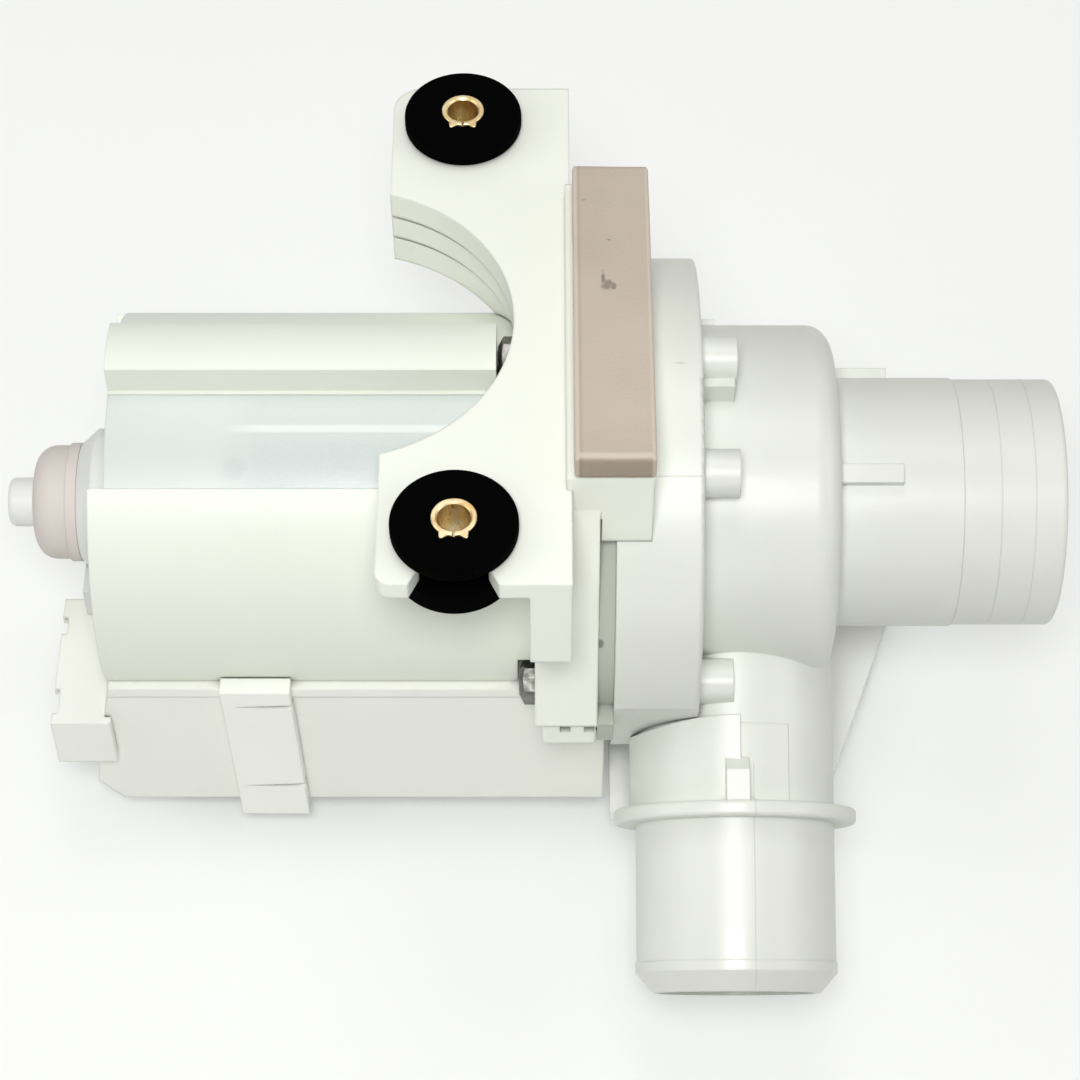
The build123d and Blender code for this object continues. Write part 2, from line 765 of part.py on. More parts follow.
def top_rail():
    """Crowned rail that covers the leads along the top of the motor."""
    low_x = motor_rear_x + rear_step
    high_x = head_seat_high_x - screw_head_height - rail_right_gap
    middle_y = (rail_front_y + rail_back_y) / 2
    middle_z = (rail_front_z + rail_back_z) / 2 + rail_crown
    with BuildLine(Plane.YZ) as line:
        Polyline((rail_front_y, rail_front_z), (rail_front_y, 0), (rail_back_y, 0), (rail_back_y, rail_back_z))
        ThreePointArc((rail_back_y, rail_back_z), (middle_y, middle_z), (rail_front_y, rail_front_z))
    rail = Pos(low_x, 0, 0) * extrude(make_face(line.edges()), amount=high_x - low_x, dir=(1, 0, 0))
    return rail - along_x(motor_radius, low_x - cut_overrun, high_x + cut_overrun)


def rear_end_bell():
    """End disc of the motor with the rear bearing's boss and the lead tower."""
    inner = motor_radius - motor_wall
    disc_low = motor_rear_x + rear_step
    bell = along_x(inner, disc_low, disc_low + bell_disc_thickness)
    bell += along_x(bell_boss_radius, bell_boss_x, disc_low)
    nose = Cone(bell_nose_radius, bell_boss_radius, bell_boss_x - bell_nose_x,
                align=(Align.CENTER, Align.CENTER, Align.MIN))
    bell += Pos(bell_nose_x, 0, 0) * (Rot(0, 90, 0) * nose)
    bell += block(bell_tower_x, disc_low, bell_tower_front_y, bell_tower_front_y + bell_tower_depth,
                  bell_tower_low_z + fit_gap, bell_tower_low_z + bell_tower_height)
    bell -= along_x(bearing_radius, rear_bearing_x, disc_low + bell_disc_thickness + cut_overrun)
    return bell - along_x(shaft_radius + cut_overrun, bell_nose_x - cut_overrun, disc_low)


def rear_bearing_cap():
    """Rubber cap over the rear bearing, with a raised ring at its open end."""
    cap = along_x(cap_radius, cap_end_x, bell_nose_x)
    cap = fillet(cap.edges().filter_by(GeomType.CIRCLE).sort_by(Axis.X)[0], cap_round)
    cap += along_x(cap_radius + cap_ring_height, bell_nose_x - cap_ring_width, bell_nose_x)
    cap -= along_x(cap_radius - cap_wall, cap_end_x + cap_round, bell_nose_x + cut_overrun)
    return cap - along_x(plug_stem_radius, cap_end_x - cut_overrun, cap_end_x + 2 * cap_round)


def rear_plug():
    """White plug that closes the cap's centre hole."""
    plug = along_x(plug_radius, cap_end_x - plug_length, cap_end_x)
    plug = fillet(plug.edges().filter_by(GeomType.CIRCLE).sort_by(Axis.X)[0], plug_round)
    return plug + along_x(plug_stem_radius, cap_end_x, cap_end_x + cap_round)


def box_profile(inset):
    """Side outline of the box, slanted and undercut at its rear end."""
    return [
        (box_top_left_x + inset, box_top_z - inset),
        (box_low_left_x + inset, box_undercut_z),
        (box_low_left_x + box_undercut + inset, box_low_z + inset),
        (box_right_x - inset, box_low_z + inset),
        (box_right_x - inset, box_top_z - inset),
    ]


def box_envelope(inset):
    """Box shape less the motor, the web and the back plate, shrunk by an inset."""
    solid = xz_prism(box_profile(inset), box_front_y + inset, box_back_y - inset)
    grow = fit_gap + inset
    solid -= along_x(motor_radius + inset, motor_rear_x - cut_overrun - box_undercut - inset,
                     web_right_x)
    return solid - along_x(plate_radius + grow, plate_left_x - grow, 0)


def capacitor_box():
    """Hollow white box that hugs the motor's lower front corner."""
    solid = box_envelope(0)
    rim = block(box_low_left_x, box_right_x, box_front_y - cut_overrun, box_front_y + box_rim_step,
                box_low_z - cut_overrun, box_top_z - box_rim_height)
    solid -= rim & xz_prism(box_profile(0), box_front_y - cut_overrun, box_back_y)
    return solid - box_envelope(box_wall)


def run_capacitor():
    """Round capacitor in the corner of the box, with a crimped lid."""
    y = box_front_y + box_rim_step + box_wall + capacitor_radius
    z = box_low_z + box_wall + capacitor_radius
    left = box_top_left_x + capacitor_left_gap
    can = along_x(capacitor_radius, left, left + capacitor_length, y, z)
    return fillet(can.edges().filter_by(GeomType.CIRCLE), box_wall / 2)


def box_clip():
    """Strap clip over the front of the box, with two tapered slits."""
    front = box_front_y - clip_thickness
    low = box_low_z - clip_low_thickness
    points = [
        (clip_left_x, clip_top_z),
        (clip_left_x + clip_width, clip_top_z),
        (clip_left_x + clip_width + clip_slant, low),
        (clip_left_x + clip_slant, low),
    ]
    strap = xz_prism(points, front, box_front_y)
    hook_back = front + clip_hook_depth
    strap += block(clip_left_x, clip_left_x + clip_width, front, hook_back, box_top_z, clip_top_z)
    strap += block(clip_left_x + clip_slant, clip_left_x + clip_width + clip_slant, front,
                   clip_low_back_y, low, box_low_z)
    for middle_z in (clip_slit_z_high, clip_slit_z_low):
        slit = xz_prism([
            (clip_left_x + clip_slit_margin, middle_z),
            (clip_left_x + clip_width + 2 * clip_slant, middle_z + clip_slit_height / 2),
            (clip_left_x + clip_width + 2 * clip_slant, middle_z - clip_slit_height / 2),
        ], front - cut_overrun, box_front_y + cut_overrun)
        strap -= slit
    return strap - along_x(motor_radius + fit_gap, motor_rear_x, motor_front_x)


def connector_housing():
    """Two-cavity connector against the rear of the motor and the box."""
    body = block(connector_left_x, motor_rear_x, connector_front_y, connector_back_y,
                 connector_low_z, connector_top_z)
    for (low_y, high_y), (notch_low_y, notch_high_y) in zip(cavity_spans, cavity_notches):
        body -= block(connector_left_x - cut_overrun, connector_left_x + connector_depth, low_y, high_y,
                      connector_low_z + connector_wall, connector_top_z - connector_wall)
        body -= block(connector_left_x - cut_overrun, connector_left_x + cavity_notch_depth,
                      notch_low_y, notch_high_y, connector_top_z - 2 * connector_wall,
                      connector_top_z + cut_overrun)
    return body - xz_prism(box_profile(0), box_front_y, box_back_y)


def connector_terminals():
    """Blades that stand in the connector's cavities."""
    root = connector_left_x + connector_depth
    middle_z = (connector_low_z + connector_top_z) / 2
    return [
        block(root - blade_length, root, y - blade_thickness / 2, y + blade_thickness / 2,
              middle_z - blade_width / 2, middle_z + blade_width / 2)
        for y in blade_places
    ]


def support_plate():
    """White plate under the volute with a bay for the outlet and a small upright lip."""
    top = -ring_radius
    slope = (foot_right_far_x - foot_right_near_x) / (foot_back_y - foot_bay_y)
    plate = xy_prism([
        (foot_left_x, foot_back_y),
        (foot_left_x, foot_front_y),
        (foot_left_x + foot_prong_width, foot_front_y),
        (foot_left_x + foot_prong_width, foot_bay_y),
        (foot_right_near_x, foot_bay_y),
        (foot_right_far_x, foot_back_y),
    ], top - foot_thickness, top)
    lip_y = foot_back_y - foot_lip_length
    lip_x = foot_right_far_x - slope * foot_lip_length
    plate += xy_prism([
        (foot_right_far_x, foot_back_y),
        (foot_right_far_x - foot_thickness, foot_back_y),
        (lip_x - foot_thickness, lip_y),
        (lip_x, lip_y),
    ], top - foot_thickness, top + foot_lip_height)
    for x, y in foot_post_places:
        plate -= along_z(foot_screw_radius + screw_clearance, top - foot_thickness - cut_overrun,
                         top + cut_overrun, x, y)
        plate -= along_z(foot_screw_head_radius + screw_clearance, top - foot_thickness - cut_overrun,
                         top - foot_thickness + foot_screw_head_height, x, y)
    return plate


def support_screw(x, y):
    """Pan screw sunk in the support plate."""
    seat = -ring_radius - foot_thickness + foot_screw_head_height
    screw = along_z(foot_screw_head_radius, seat - foot_screw_head_height, seat, x, y)
    return screw + along_z(foot_screw_radius, seat, seat + foot_screw_length - foot_screw_head_height, x, y)


def stator_core():
    """Lamination ring with four teeth and their pole shoes."""
    core = tube_x(motor_radius - motor_wall, stator_yoke_inner_radius, core_left_x, core_right_x)
    bore = rotor_radius + air_gap
    for index in range(tooth_count):
        tooth = block(core_left_x, core_right_x, bore - air_gap, stator_yoke_inner_radius + cut_overrun,
                      -tooth_width / 2, tooth_width / 2)
        tooth += block(core_left_x, core_right_x, bore - 2 * shoe_height, bore + shoe_height,
                       -shoe_width / 2, shoe_width / 2)
        core += Rot(first_tooth_angle + 360.0 * index / tooth_count, 0, 0) * tooth
    return core - along_x(bore, core_left_x - cut_overrun, core_right_x + cut_overrun)


def tooth_frame(low_radius, high_radius, inner_gap, depth):
    """Rectangular frame round a stator tooth."""
    inner_half = tooth_width / 2 + inner_gap
    outer_half = inner_half + depth
    frame = block(core_left_x - inner_gap - depth, core_right_x + inner_gap + depth, low_radius,
                  high_radius, -outer_half, outer_half)
    return frame - block(core_left_x - inner_gap, core_right_x + inner_gap, low_radius - cut_overrun,
                         high_radius + cut_overrun, -inner_half, inner_half)


def coil_bobbins():
    """Insulating bobbins on the four teeth."""
    bobbin = tooth_frame(bobbin_low_radius, bobbin_high_radius, 0, bobbin_wall)
    bobbin += tooth_frame(bobbin_low_radius, bobbin_low_radius + bobbin_wall, 0, coil_depth)
    bobbin += tooth_frame(bobbin_high_radius - bobbin_wall, bobbin_high_radius, 0, coil_depth)
    return [Rot(first_tooth_angle + 360.0 * index / tooth_count, 0, 0) * bobbin for index in range(tooth_count)]


def stator_windings():
    """Wound copper on the four bobbins."""
    coil = tooth_frame(bobbin_low_radius + bobbin_wall, bobbin_high_radius - bobbin_wall, bobbin_wall,
                       coil_depth - bobbin_wall)
    return [Rot(first_tooth_angle + 360.0 * index / tooth_count, 0, 0) * coil for index in range(tooth_count)]


def bearing(x_low):
    """Sintered bearing bush."""
    return tube_x(bearing_radius, shaft_radius + running_gap, x_low, x_low + bearing_length)


def rotor_shaft():
    """Steel shaft with a flat for the impeller."""
    shaft = along_x(shaft_radius, shaft_rear_x, shaft_front_x)
    flat = block(ring_left_x, shaft_front_x + cut_overrun, -shaft_radius, shaft_radius,
                 shaft_radius - shaft_flat_depth, shaft_radius + cut_overrun)
    return shaft - flat


def rotor_core():
    """Rotor laminations on the shaft."""
    return tube_x(rotor_radius, shaft_radius, core_left_x, core_right_x)


def rotor_end_rings():
    """Cast rings at both ends of the rotor."""
    return [
        tube_x(rotor_radius, end_ring_bore_radius, core_left_x - end_ring_length, core_left_x),
        tube_x(rotor_radius, end_ring_bore_radius, core_right_x, core_right_x + end_ring_length),
    ]


def thrust_washers():
    """Washers between the bearings and the rotor, one at each bearing."""
    rear_x = rear_bearing_x + bearing_length + running_gap
    front_x = front_bearing_x - washer_thickness - running_gap
    return [
        tube_x(washer_radius, shaft_radius, rear_x, rear_x + washer_thickness),
        tube_x(washer_radius, shaft_radius, front_x, front_x + washer_thickness),
    ]


def impeller():
    """Open impeller: disc, hub with a rounded nose and curved vanes."""
    back = ring_left_x + impeller_back_gap
    disc_front = back + impeller_disc_thickness
    hub = along_x(impeller_hub_radius, back, impeller_nose_x)
    hub = fillet(hub.edges().filter_by(GeomType.CIRCLE).sort_by(Axis.X)[-1], impeller_hub_radius / 2)
    wheel = hub + along_x(impeller_radius, back, disc_front)
    for index in range(vane_count):
        vane = block(back, disc_front + vane_height, impeller_hub_radius / 2, impeller_radius,
                     -vane_thickness / 2, vane_thickness / 2)
        vane = Pos(0, 0, vane_offset) * (Rot(vane_lean, 0, 0) * vane)
        wheel += Rot(360.0 * index / vane_count, 0, 0) * vane
    wheel &= along_x(impeller_radius, back, impeller_nose_x)
    return wheel - rotor_shaft()


def write(name, solids):
    """Write one node; a group of separate solids goes in as a compound."""
    shape = Compound(children=list(solids)) if isinstance(solids, list) else solids
    export_step(shape, os.path.join("parts", name + ".step"))


def main():
    """Make the folder and write every node."""
    os.makedirs("parts", exist_ok=True)
    write("volute_housing", volute_housing())
    write("chamber_back_plate", chamber_back_plate())
    write("chamber_seal_ring", chamber_seal_ring())
    write("shaft_seal", shaft_seal())
    write("mounting_bracket", mounting_bracket())
    write("foam_pad", foam_pad())
    write("near_grommet", grommet(grommet_near_y))
    write("far_grommet", grommet(grommet_far_y))
    write("near_sleeve", rolled_sleeve(grommet_near_y))
    write("far_sleeve", rolled_sleeve(grommet_far_y))
    write("flange_screws", [flange_screw(angle) for angle in screw_angles])
    write("motor_housing", motor_housing())
    write("window_cover", window_cover())
    write("top_rail", top_rail())
    write("rear_end_bell", rear_end_bell())
    write("rear_bearing_cap", rear_bearing_cap())
    write("rear_plug", rear_plug())
    write("capacitor_box", capacitor_box())
    write("run_capacitor", run_capacitor())
    write("box_clip", box_clip())
    write("connector_housing", connector_housing())
    write("connector_terminals", connector_terminals())
    write("support_plate", support_plate())
    write("support_screws", [support_screw(x, y) for x, y in foot_post_places])
    write("stator_core", stator_core())
    write("coil_bobbins", coil_bobbins())
    write("stator_windings", stator_windings())
    write("rear_bearing", bearing(rear_bearing_x))
    write("front_bearing", bearing(front_bearing_x))
    write("rotor_shaft", rotor_shaft())
    write("rotor_core", rotor_core())
    write("rotor_end_rings", rotor_end_rings())
    write("thrust_washers", thrust_washers())
    write("impeller", impeller())


main()
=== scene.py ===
import bpy
import bmesh
import math
from mathutils import Vector, Matrix, noise


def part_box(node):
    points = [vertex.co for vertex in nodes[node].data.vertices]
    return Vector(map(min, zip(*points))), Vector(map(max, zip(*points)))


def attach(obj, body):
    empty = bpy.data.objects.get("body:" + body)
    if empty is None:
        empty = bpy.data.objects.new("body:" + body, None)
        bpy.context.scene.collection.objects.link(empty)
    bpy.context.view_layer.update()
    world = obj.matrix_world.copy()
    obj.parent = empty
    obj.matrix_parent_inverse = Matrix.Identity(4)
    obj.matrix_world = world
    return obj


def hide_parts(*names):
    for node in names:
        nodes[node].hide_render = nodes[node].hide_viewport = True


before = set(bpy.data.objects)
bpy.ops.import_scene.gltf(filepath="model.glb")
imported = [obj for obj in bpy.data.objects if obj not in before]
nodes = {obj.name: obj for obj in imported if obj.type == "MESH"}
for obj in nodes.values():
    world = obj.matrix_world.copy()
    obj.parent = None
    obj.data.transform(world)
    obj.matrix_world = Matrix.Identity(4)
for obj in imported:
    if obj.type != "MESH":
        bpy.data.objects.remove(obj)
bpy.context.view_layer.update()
scene = bpy.context.scene
mm = 0.001
print("frame loaded:", len(nodes), "nodes")

# Helpers; lengths in the dictionaries below are in millimetres


def mmVector(place):
    return Vector(place) * mm


def addObject(name, data):
    obj = bpy.data.objects.new(name, data)
    scene.collection.objects.link(obj)
    return obj


def meshObject(name, bm):
    mesh = bpy.data.meshes.new(name)
    bm.to_mesh(mesh)
    bm.free()
    return addObject(name, mesh)


# turns a camera or lamp to face a place
def aim(obj, target):
    away = obj.location - mmVector(target)
    obj.rotation_euler = away.to_track_quat("Z", "Y").to_euler()


# gives each input its value, or links it where the value is a socket
def feed(tree, inputs, values):
    for key, value in values.items():
        socket = inputs[key]
        if isinstance(value, bpy.types.NodeSocket):
            tree.links.new(value, socket)
        elif socket.type == "RGBA":
            socket.default_value = (*value, 1.0)
        else:
            socket.default_value = value


def node(tree, kind, values=None, **settings):
    made = tree.nodes.new(kind)
    for key, value in settings.items():
        setattr(made, key, value)
    feed(tree, made.inputs, values or {})
    return made


def maths(tree, operation, *values):
    return node(tree, "ShaderNodeMath", dict(enumerate(values)), operation=operation).outputs[0]


def vectorMaths(tree, operation, *values):
    return node(tree, "ShaderNodeVectorMath", dict(enumerate(values)), operation=operation).outputs


# the mix node's sockets 0, 6 and 7 are its factor and its two colours
def mixColour(tree, factor, a, b):
    return node(tree, "ShaderNodeMix", {0: factor, 6: a, 7: b}, data_type="RGBA").outputs[2]


# lays a tint over a colour where the mask is, as strong as the share
def overlay(tree, colour, mask, share, tint):
    return mixColour(tree, maths(tree, "MULTIPLY", mask, share), colour, tint)


# turns a value that runs from start to end into one from low to high
def ramp(tree, value, start, end, low=0.0, high=1.0, form="LINEAR"):
    values = {"Value": value, "From Min": start, "From Max": end, "To Min": low, "To Max": high}
    return node(tree, "ShaderNodeMapRange", values, interpolation_type=form).outputs[0]


def noiseOf(tree, scale, detail, place=None, rough=0.5):
    values = {"Scale": scale, "Detail": detail, "Roughness": rough}
    if place is not None:
        values["Vector"] = place
    return node(tree, "ShaderNodeTexNoise", values).outputs["Fac"]


def objectPlace(tree):
    return node(tree, "ShaderNodeTexCoord").outputs["Object"]


# empty node group with its sockets, given as names and types
def newGroup(name, kind, inputs, outputs):
    group = bpy.data.node_groups.new(name, kind)
    for direction, sockets in (("INPUT", inputs), ("OUTPUT", outputs)):
        for label, form in sockets.items():
            group.interface.new_socket(name=label, in_out=direction, socket_type="NodeSocket" + form)
    given = group.nodes.new("NodeGroupInput").outputs
    result = group.nodes.new("NodeGroupOutput").inputs
    return group, given, result


def useGroup(tree, group, values):
    return node(tree, "ShaderNodeGroup", values, node_tree=group).outputs


def newMaterial(name):
    material = bpy.data.materials.new(name)
    material.use_nodes = True
    return material, material.node_tree, material.node_tree.nodes["Principled BSDF"]


# View and light

cameraSet = {
    "eye": (-58.5, -362.5, 468.1), "target": (-58.5, -6.2, -4.67), "lens": 96.67, "sensor": 36.0,
    "clipStart": 10.0,
}
lampTarget = (-60, 0, 0)
lampSet = {
    "overCamera": {"at": (-88, -432, 668), "size": 230, "power": 3.8},
    "ceiling": {"at": (-60, 153, 785), "size": 380, "power": 1.3},
    "leftWindow": {"at": (-742, -126, 398), "size": 380, "power": 0.76},
    "rightWindow": {"at": (622, -126, 398), "size": 380, "power": 0.69},
    "lowWall": {"at": (-60, -792, 111), "size": 380, "power": 0.4},
}
roomSet = {"glow": (1.0, 1.0, 0.99), "glowPower": 0.215, "seen": (0.955, 0.965, 0.955), "seenPower": 1.0}

camData = bpy.data.cameras.new("photoView")
camData.lens = cameraSet["lens"]
camData.sensor_width = cameraSet["sensor"]
camData.clip_start = cameraSet["clipStart"] * mm
camera = addObject("photoView", camData)
camera.location = mmVector(cameraSet["eye"])
aim(camera, cameraSet["target"])
scene.camera = camera

for lampName, lamp in lampSet.items():
    lampData = bpy.data.lights.new(lampName, "AREA")
    lampData.shape = "DISK"
    lampData.size = lamp["size"] * mm
    lampData.energy = lamp["power"]
    lampObj = addObject(lampName, lampData)
    lampObj.location = mmVector(lamp["at"])
    aim(lampObj, lampTarget)

scene.view_settings.view_transform = "Standard"

# the room lights softly, and is brighter where the camera or a gloss sees it
world = bpy.data.worlds.new("softRoom")
scene.world = world
world.use_nodes = True
room = world.node_tree
room.nodes.clear()
roomGlow = node(room, "ShaderNodeBackground", {"Color": roomSet["glow"], "Strength": roomSet["glowPower"]})
roomSeen = node(room, "ShaderNodeBackground", {"Color": roomSet["seen"], "Strength": roomSet["seenPower"]})
roomRays = node(room, "ShaderNodeLightPath").outputs
seenRays = maths(room, "MAXIMUM", roomRays["Is Camera Ray"], roomRays["Is Glossy Ray"])
roomMix = node(room, "ShaderNodeMixShader", {0: seenRays, 1: roomGlow.outputs[0], 2: roomSeen.outputs[0]})
node(room, "ShaderNodeOutputWorld", {"Surface": roomMix.outputs[0]})
print("camera, lamps and room made")

# Shader groups

skinSet = {
    "cloudDetail": 4.0, "cloudRough": 0.55, "cloudStart": 0.3, "cloudEnd": 0.7, "grainDetail": 3.0,
    "flowScale": (90.0, 1400.0, 900.0), "flowTurn": (0.3, 0.2, 0.6), "flowDetail": 2.0,
    "scuffStart": 0.66, "scuffEnd": 0.78,
}


# cloudy tone, fine grain and faint flow marks of moulded plastic
def makeSkinGroup():
    group, given, result = newGroup("mouldedSkin", "ShaderNodeTree",
                                    {"Cloud Scale": "Float", "Grain Scale": "Float", "Seed": "Float"},
                                    {"Tone": "Float", "Grain": "Float", "Scuff": "Float"})
    place = vectorMaths(group, "ADD", objectPlace(group), given["Seed"])["Vector"]
    cloud = noiseOf(group, given["Cloud Scale"], skinSet["cloudDetail"], place, skinSet["cloudRough"])
    grain = noiseOf(group, given["Grain Scale"], skinSet["grainDetail"], place)
    flowValues = {"Vector": place, "Scale": skinSet["flowScale"], "Rotation": skinSet["flowTurn"]}
    flowPlace = node(group, "ShaderNodeMapping", flowValues).outputs[0]
    flow = noiseOf(group, 1.0, skinSet["flowDetail"], flowPlace)
    feed(group, result, {
        "Tone": ramp(group, cloud, skinSet["cloudStart"], skinSet["cloudEnd"]),
        "Grain": grain,
        "Scuff": ramp(group, flow, skinSet["scuffStart"], skinSet["scuffEnd"]),
    })
    return group


edgeSet = {"samples": 4, "flat": 0.995, "sharp": 0.8}  # likeness of rounded and plain normal


# rounded normal for sharp moulded corners, and a mask of the corners
def makeEdgeGroup():
    group, given, result = newGroup("roundedEdges", "ShaderNodeTree", {"Radius": "Float"},
                                    {"Normal": "Vector", "Edge": "Float"})
    bevel = node(group, "ShaderNodeBevel", {"Radius": given["Radius"]}, samples=edgeSet["samples"])
    soft = bevel.outputs[0]
    plain = node(group, "ShaderNodeNewGeometry").outputs["Normal"]
    likeness = vectorMaths(group, "DOT_PRODUCT", soft, plain)["Value"]
    feed(group, result, {"Normal": soft, "Edge": ramp(group, likeness, edgeSet["flat"], edgeSet["sharp"])})
    return group


creviceSet = {"samples": 8, "openShade": 0.55, "fullShade": 0.1}


# how open the surroundings are, and a mask of the narrow gaps and inner corners, used to paint shade into
# them
def makeCreviceGroup():
    group, given, result = newGroup("paintedCreviceShade", "ShaderNodeTree", {"Reach": "Float"},
                                    {"Open": "Float", "Crevice": "Float"})
    reach = {"Distance": given["Reach"]}
    around = node(group, "ShaderNodeAmbientOcclusion", reach, samples=creviceSet["samples"]).outputs["AO"]
    mask = ramp(group, around, creviceSet["openShade"], creviceSet["fullShade"], form="SMOOTHSTEP")
    feed(group, result, {"Open": around, "Crevice": mask})
    return group


lineSet = {"outside": 1.0, "solid": 0.35}  # shares of the half width


# thin line where a value passes a place, such as a witness line of the mould
def makeLineGroup():
    group, given, result = newGroup("witnessLine", "ShaderNodeTree",
                                    {"Value": "Float", "Place": "Float", "Half Width": "Float"},
                                    {"Mask": "Float"})
    away = maths(group, "ABSOLUTE", maths(group, "SUBTRACT", given["Value"], given["Place"]))
    share = maths(group, "DIVIDE", away, given["Half Width"])
    mask = ramp(group, share, lineSet["outside"], lineSet["solid"], form="SMOOTHSTEP")
    feed(group, result, {"Mask": mask})
    return group


dabSet = {"tearScale": 900.0, "tearDetail": 3.0, "outside": 1.25, "solid": 0.75}  # shares of the spread


# ragged dab or scratch at a place
def makeDabGroup():
    group, given, result = newGroup("raggedDab", "ShaderNodeTree",
                                    {"Place": "Vector", "Spread": "Vector", "Ragged": "Float"},
                                    {"Mask": "Float"})
    coords = objectPlace(group)
    away = vectorMaths(group, "SUBTRACT", coords, given["Place"])["Vector"]
    share = vectorMaths(group, "DIVIDE", away, given["Spread"])["Vector"]
    size = vectorMaths(group, "LENGTH", share)["Value"]
    tear = noiseOf(group, dabSet["tearScale"], dabSet["tearDetail"], coords)
    torn = maths(group, "MULTIPLY_ADD", tear, given["Ragged"], size)
    mask = ramp(group, torn, dabSet["outside"], dabSet["solid"], form="SMOOTHSTEP")
    feed(group, result, {"Mask": mask})
    return group


skinGroup = makeSkinGroup()
edgeGroup = makeEdgeGroup()
creviceGroup = makeCreviceGroup()
lineGroup = makeLineGroup()
dabGroup = makeDabGroup()

# Marks and painted shade on single pieces


def placeAxes(tree):
    return node(tree, "ShaderNodeSeparateXYZ", {0: objectPlace(tree)}).outputs


def lineMask(tree, value, place, halfWidth):
    values = {"Value": value, "Place": place * mm, "Half Width": halfWidth * mm}
    return useGroup(tree, lineGroup, values)["Mask"]


def dabMask(tree, place, spread, ragged):
    values = {"Place": mmVector(place), "Spread": mmVector(spread), "Ragged": ragged}
    return useGroup(tree, dabGroup, values)["Mask"]


def strongest(tree, masks):
    result = masks[0]
    for mask in masks[1:]:
        result = maths(tree, "MAXIMUM", result, mask)
    return result


voluteSet = {
    "inletLines": (32.0, 38.7), "inletHalf": 0.16, "seamHalf": 0.14,
    "outletSeam": -16.6, "outletFront": -55.0, "outletFade": 1.0,
    "ringSeamTurn": 57.8, "ringRight": -27.5, "ringFade": 0.5,
    "lineShare": 0.16, "lineTint": (0.40, 0.42, 0.38),
    "scratch": (-32.0, -4.7, 49.3), "scratchSpread": (1.6, 0.35, 0.5), "scratchRagged": 0.7,
    "scratchShare": 0.35, "scratchTint": (0.35, 0.36, 0.33),
}


# witness lines of the inlet, parting lines of outlet and ring, one scratch
def voluteMarks(tree, colour):
    look = voluteSet
    axes = placeAxes(tree)
    lines = [lineMask(tree, axes["X"], place, look["inletHalf"]) for place in look["inletLines"]]
    outletFront = look["outletFront"] * mm
    onOutlet = ramp(tree, axes["Y"], outletFront, outletFront - look["outletFade"] * mm)
    outletSeam = lineMask(tree, axes["X"], look["outletSeam"], look["seamHalf"])
    lines.append(maths(tree, "MULTIPLY", outletSeam, onOutlet))
    turn = math.radians(look["ringSeamTurn"])
    across = maths(tree, "ADD", maths(tree, "MULTIPLY", axes["Y"], math.sin(turn)),
                   maths(tree, "MULTIPLY", axes["Z"], math.cos(turn)))
    ringRight = look["ringRight"] * mm
    onRing = ramp(tree, axes["X"], ringRight - look["ringFade"] * mm, ringRight, 1.0, 0.0)
    lines.append(maths(tree, "MULTIPLY", lineMask(tree, across, 0.0, look["seamHalf"]), onRing))
    mask = strongest(tree, lines)
    colour = overlay(tree, colour, mask, look["lineShare"], look["lineTint"])
    scratch = dabMask(tree, look["scratch"], look["scratchSpread"], look["scratchRagged"])
    colour = overlay(tree, colour, scratch, look["scratchShare"], look["scratchTint"])
    return colour, maths(tree, "MAXIMUM", mask, scratch)


windowSet = {
    "clearLeft": -121.0, "clearRight": -112.0, "blotchScale": 70.0, "blotchDetail": 2.0,
    "blotchStart": 0.35, "blotchEnd": 0.65, "blotchLeast": 0.55,
    "lowEdge": 31.0, "highEdge": 38.0, "highShare": 0.35, "coreShare": 0.55, "coreTint": (0.42, 0.50, 0.50),
    "spot": (-117.2, -18.0, 33.6), "spotSpread": (3.2, 3.2, 3.2), "spotRagged": 0.6,
    "spotShare": 0.13, "spotTint": (0.30, 0.37, 0.37),
    "rib": 36.6, "ribHalf": 0.3, "ribShare": 0.5, "ribTint": (0.88, 0.91, 0.89),
}


# the dark core shows faintly through the frosted strip, less at its rear end and high up
def windowMarks(tree, colour):
    look = windowSet
    axes = placeAxes(tree)
    inner = ramp(tree, axes["X"], look["clearLeft"] * mm, look["clearRight"] * mm)
    blotch = noiseOf(tree, look["blotchScale"], look["blotchDetail"])
    patch = ramp(tree, blotch, look["blotchStart"], look["blotchEnd"], look["blotchLeast"], 1.0)
    steep = ramp(tree, axes["Z"], look["lowEdge"] * mm, look["highEdge"] * mm, 1.0, look["highShare"])
    core = maths(tree, "MULTIPLY", maths(tree, "MULTIPLY", inner, patch), steep)
    colour = overlay(tree, colour, core, look["coreShare"], look["coreTint"])
    spot = dabMask(tree, look["spot"], look["spotSpread"], look["spotRagged"])
    colour = overlay(tree, colour, spot, look["spotShare"], look["spotTint"])
    rib = maths(tree, "MULTIPLY", lineMask(tree, axes["Z"], look["rib"], look["ribHalf"]), inner)
    return overlay(tree, colour, rib, look["ribShare"], look["ribTint"]), None


# painted shade for the connector's notches and the clip's slits
boxGapShadeSet = {
    "dabs": (
        ((-156.4, -16.8, -20.5), (0.7, 2.5, 1.2)), ((-156.4, -35.5, -20.5), (0.7, 3.3, 1.2)),
        ((-112.0, -39.3, -13.0), (4.6, 0.6, 1.3)), ((-111.6, -39.3, -42.0), (4.6, 0.6, 1.3)),
    ),
    "ragged": 0.2, "share": 0.75, "tint": (0.08, 0.085, 0.075),
}
# painted shade for a small notch at the left edge of the back plate
plateNotchShadeSet = {
    "dabs": (((-47.1, -44.1, 12.7), (1.2, 3.0, 1.4)),),
    "ragged": 0.6, "share": 0.8, "tint": (0.12, 0.13, 0.11),
}


def dabs(tree, colour, look):
    mask = strongest(tree, [dabMask(tree, place, spread, look["ragged"]) for place, spread in look["dabs"]])
    return overlay(tree, colour, mask, look["share"], look["tint"])


# painted shade: the insides of the connector's notches and the gaps seen through the clip's slits are
# coloured dark
def boxGapShade(tree, colour):
    return dabs(tree, colour, boxGapShadeSet), None
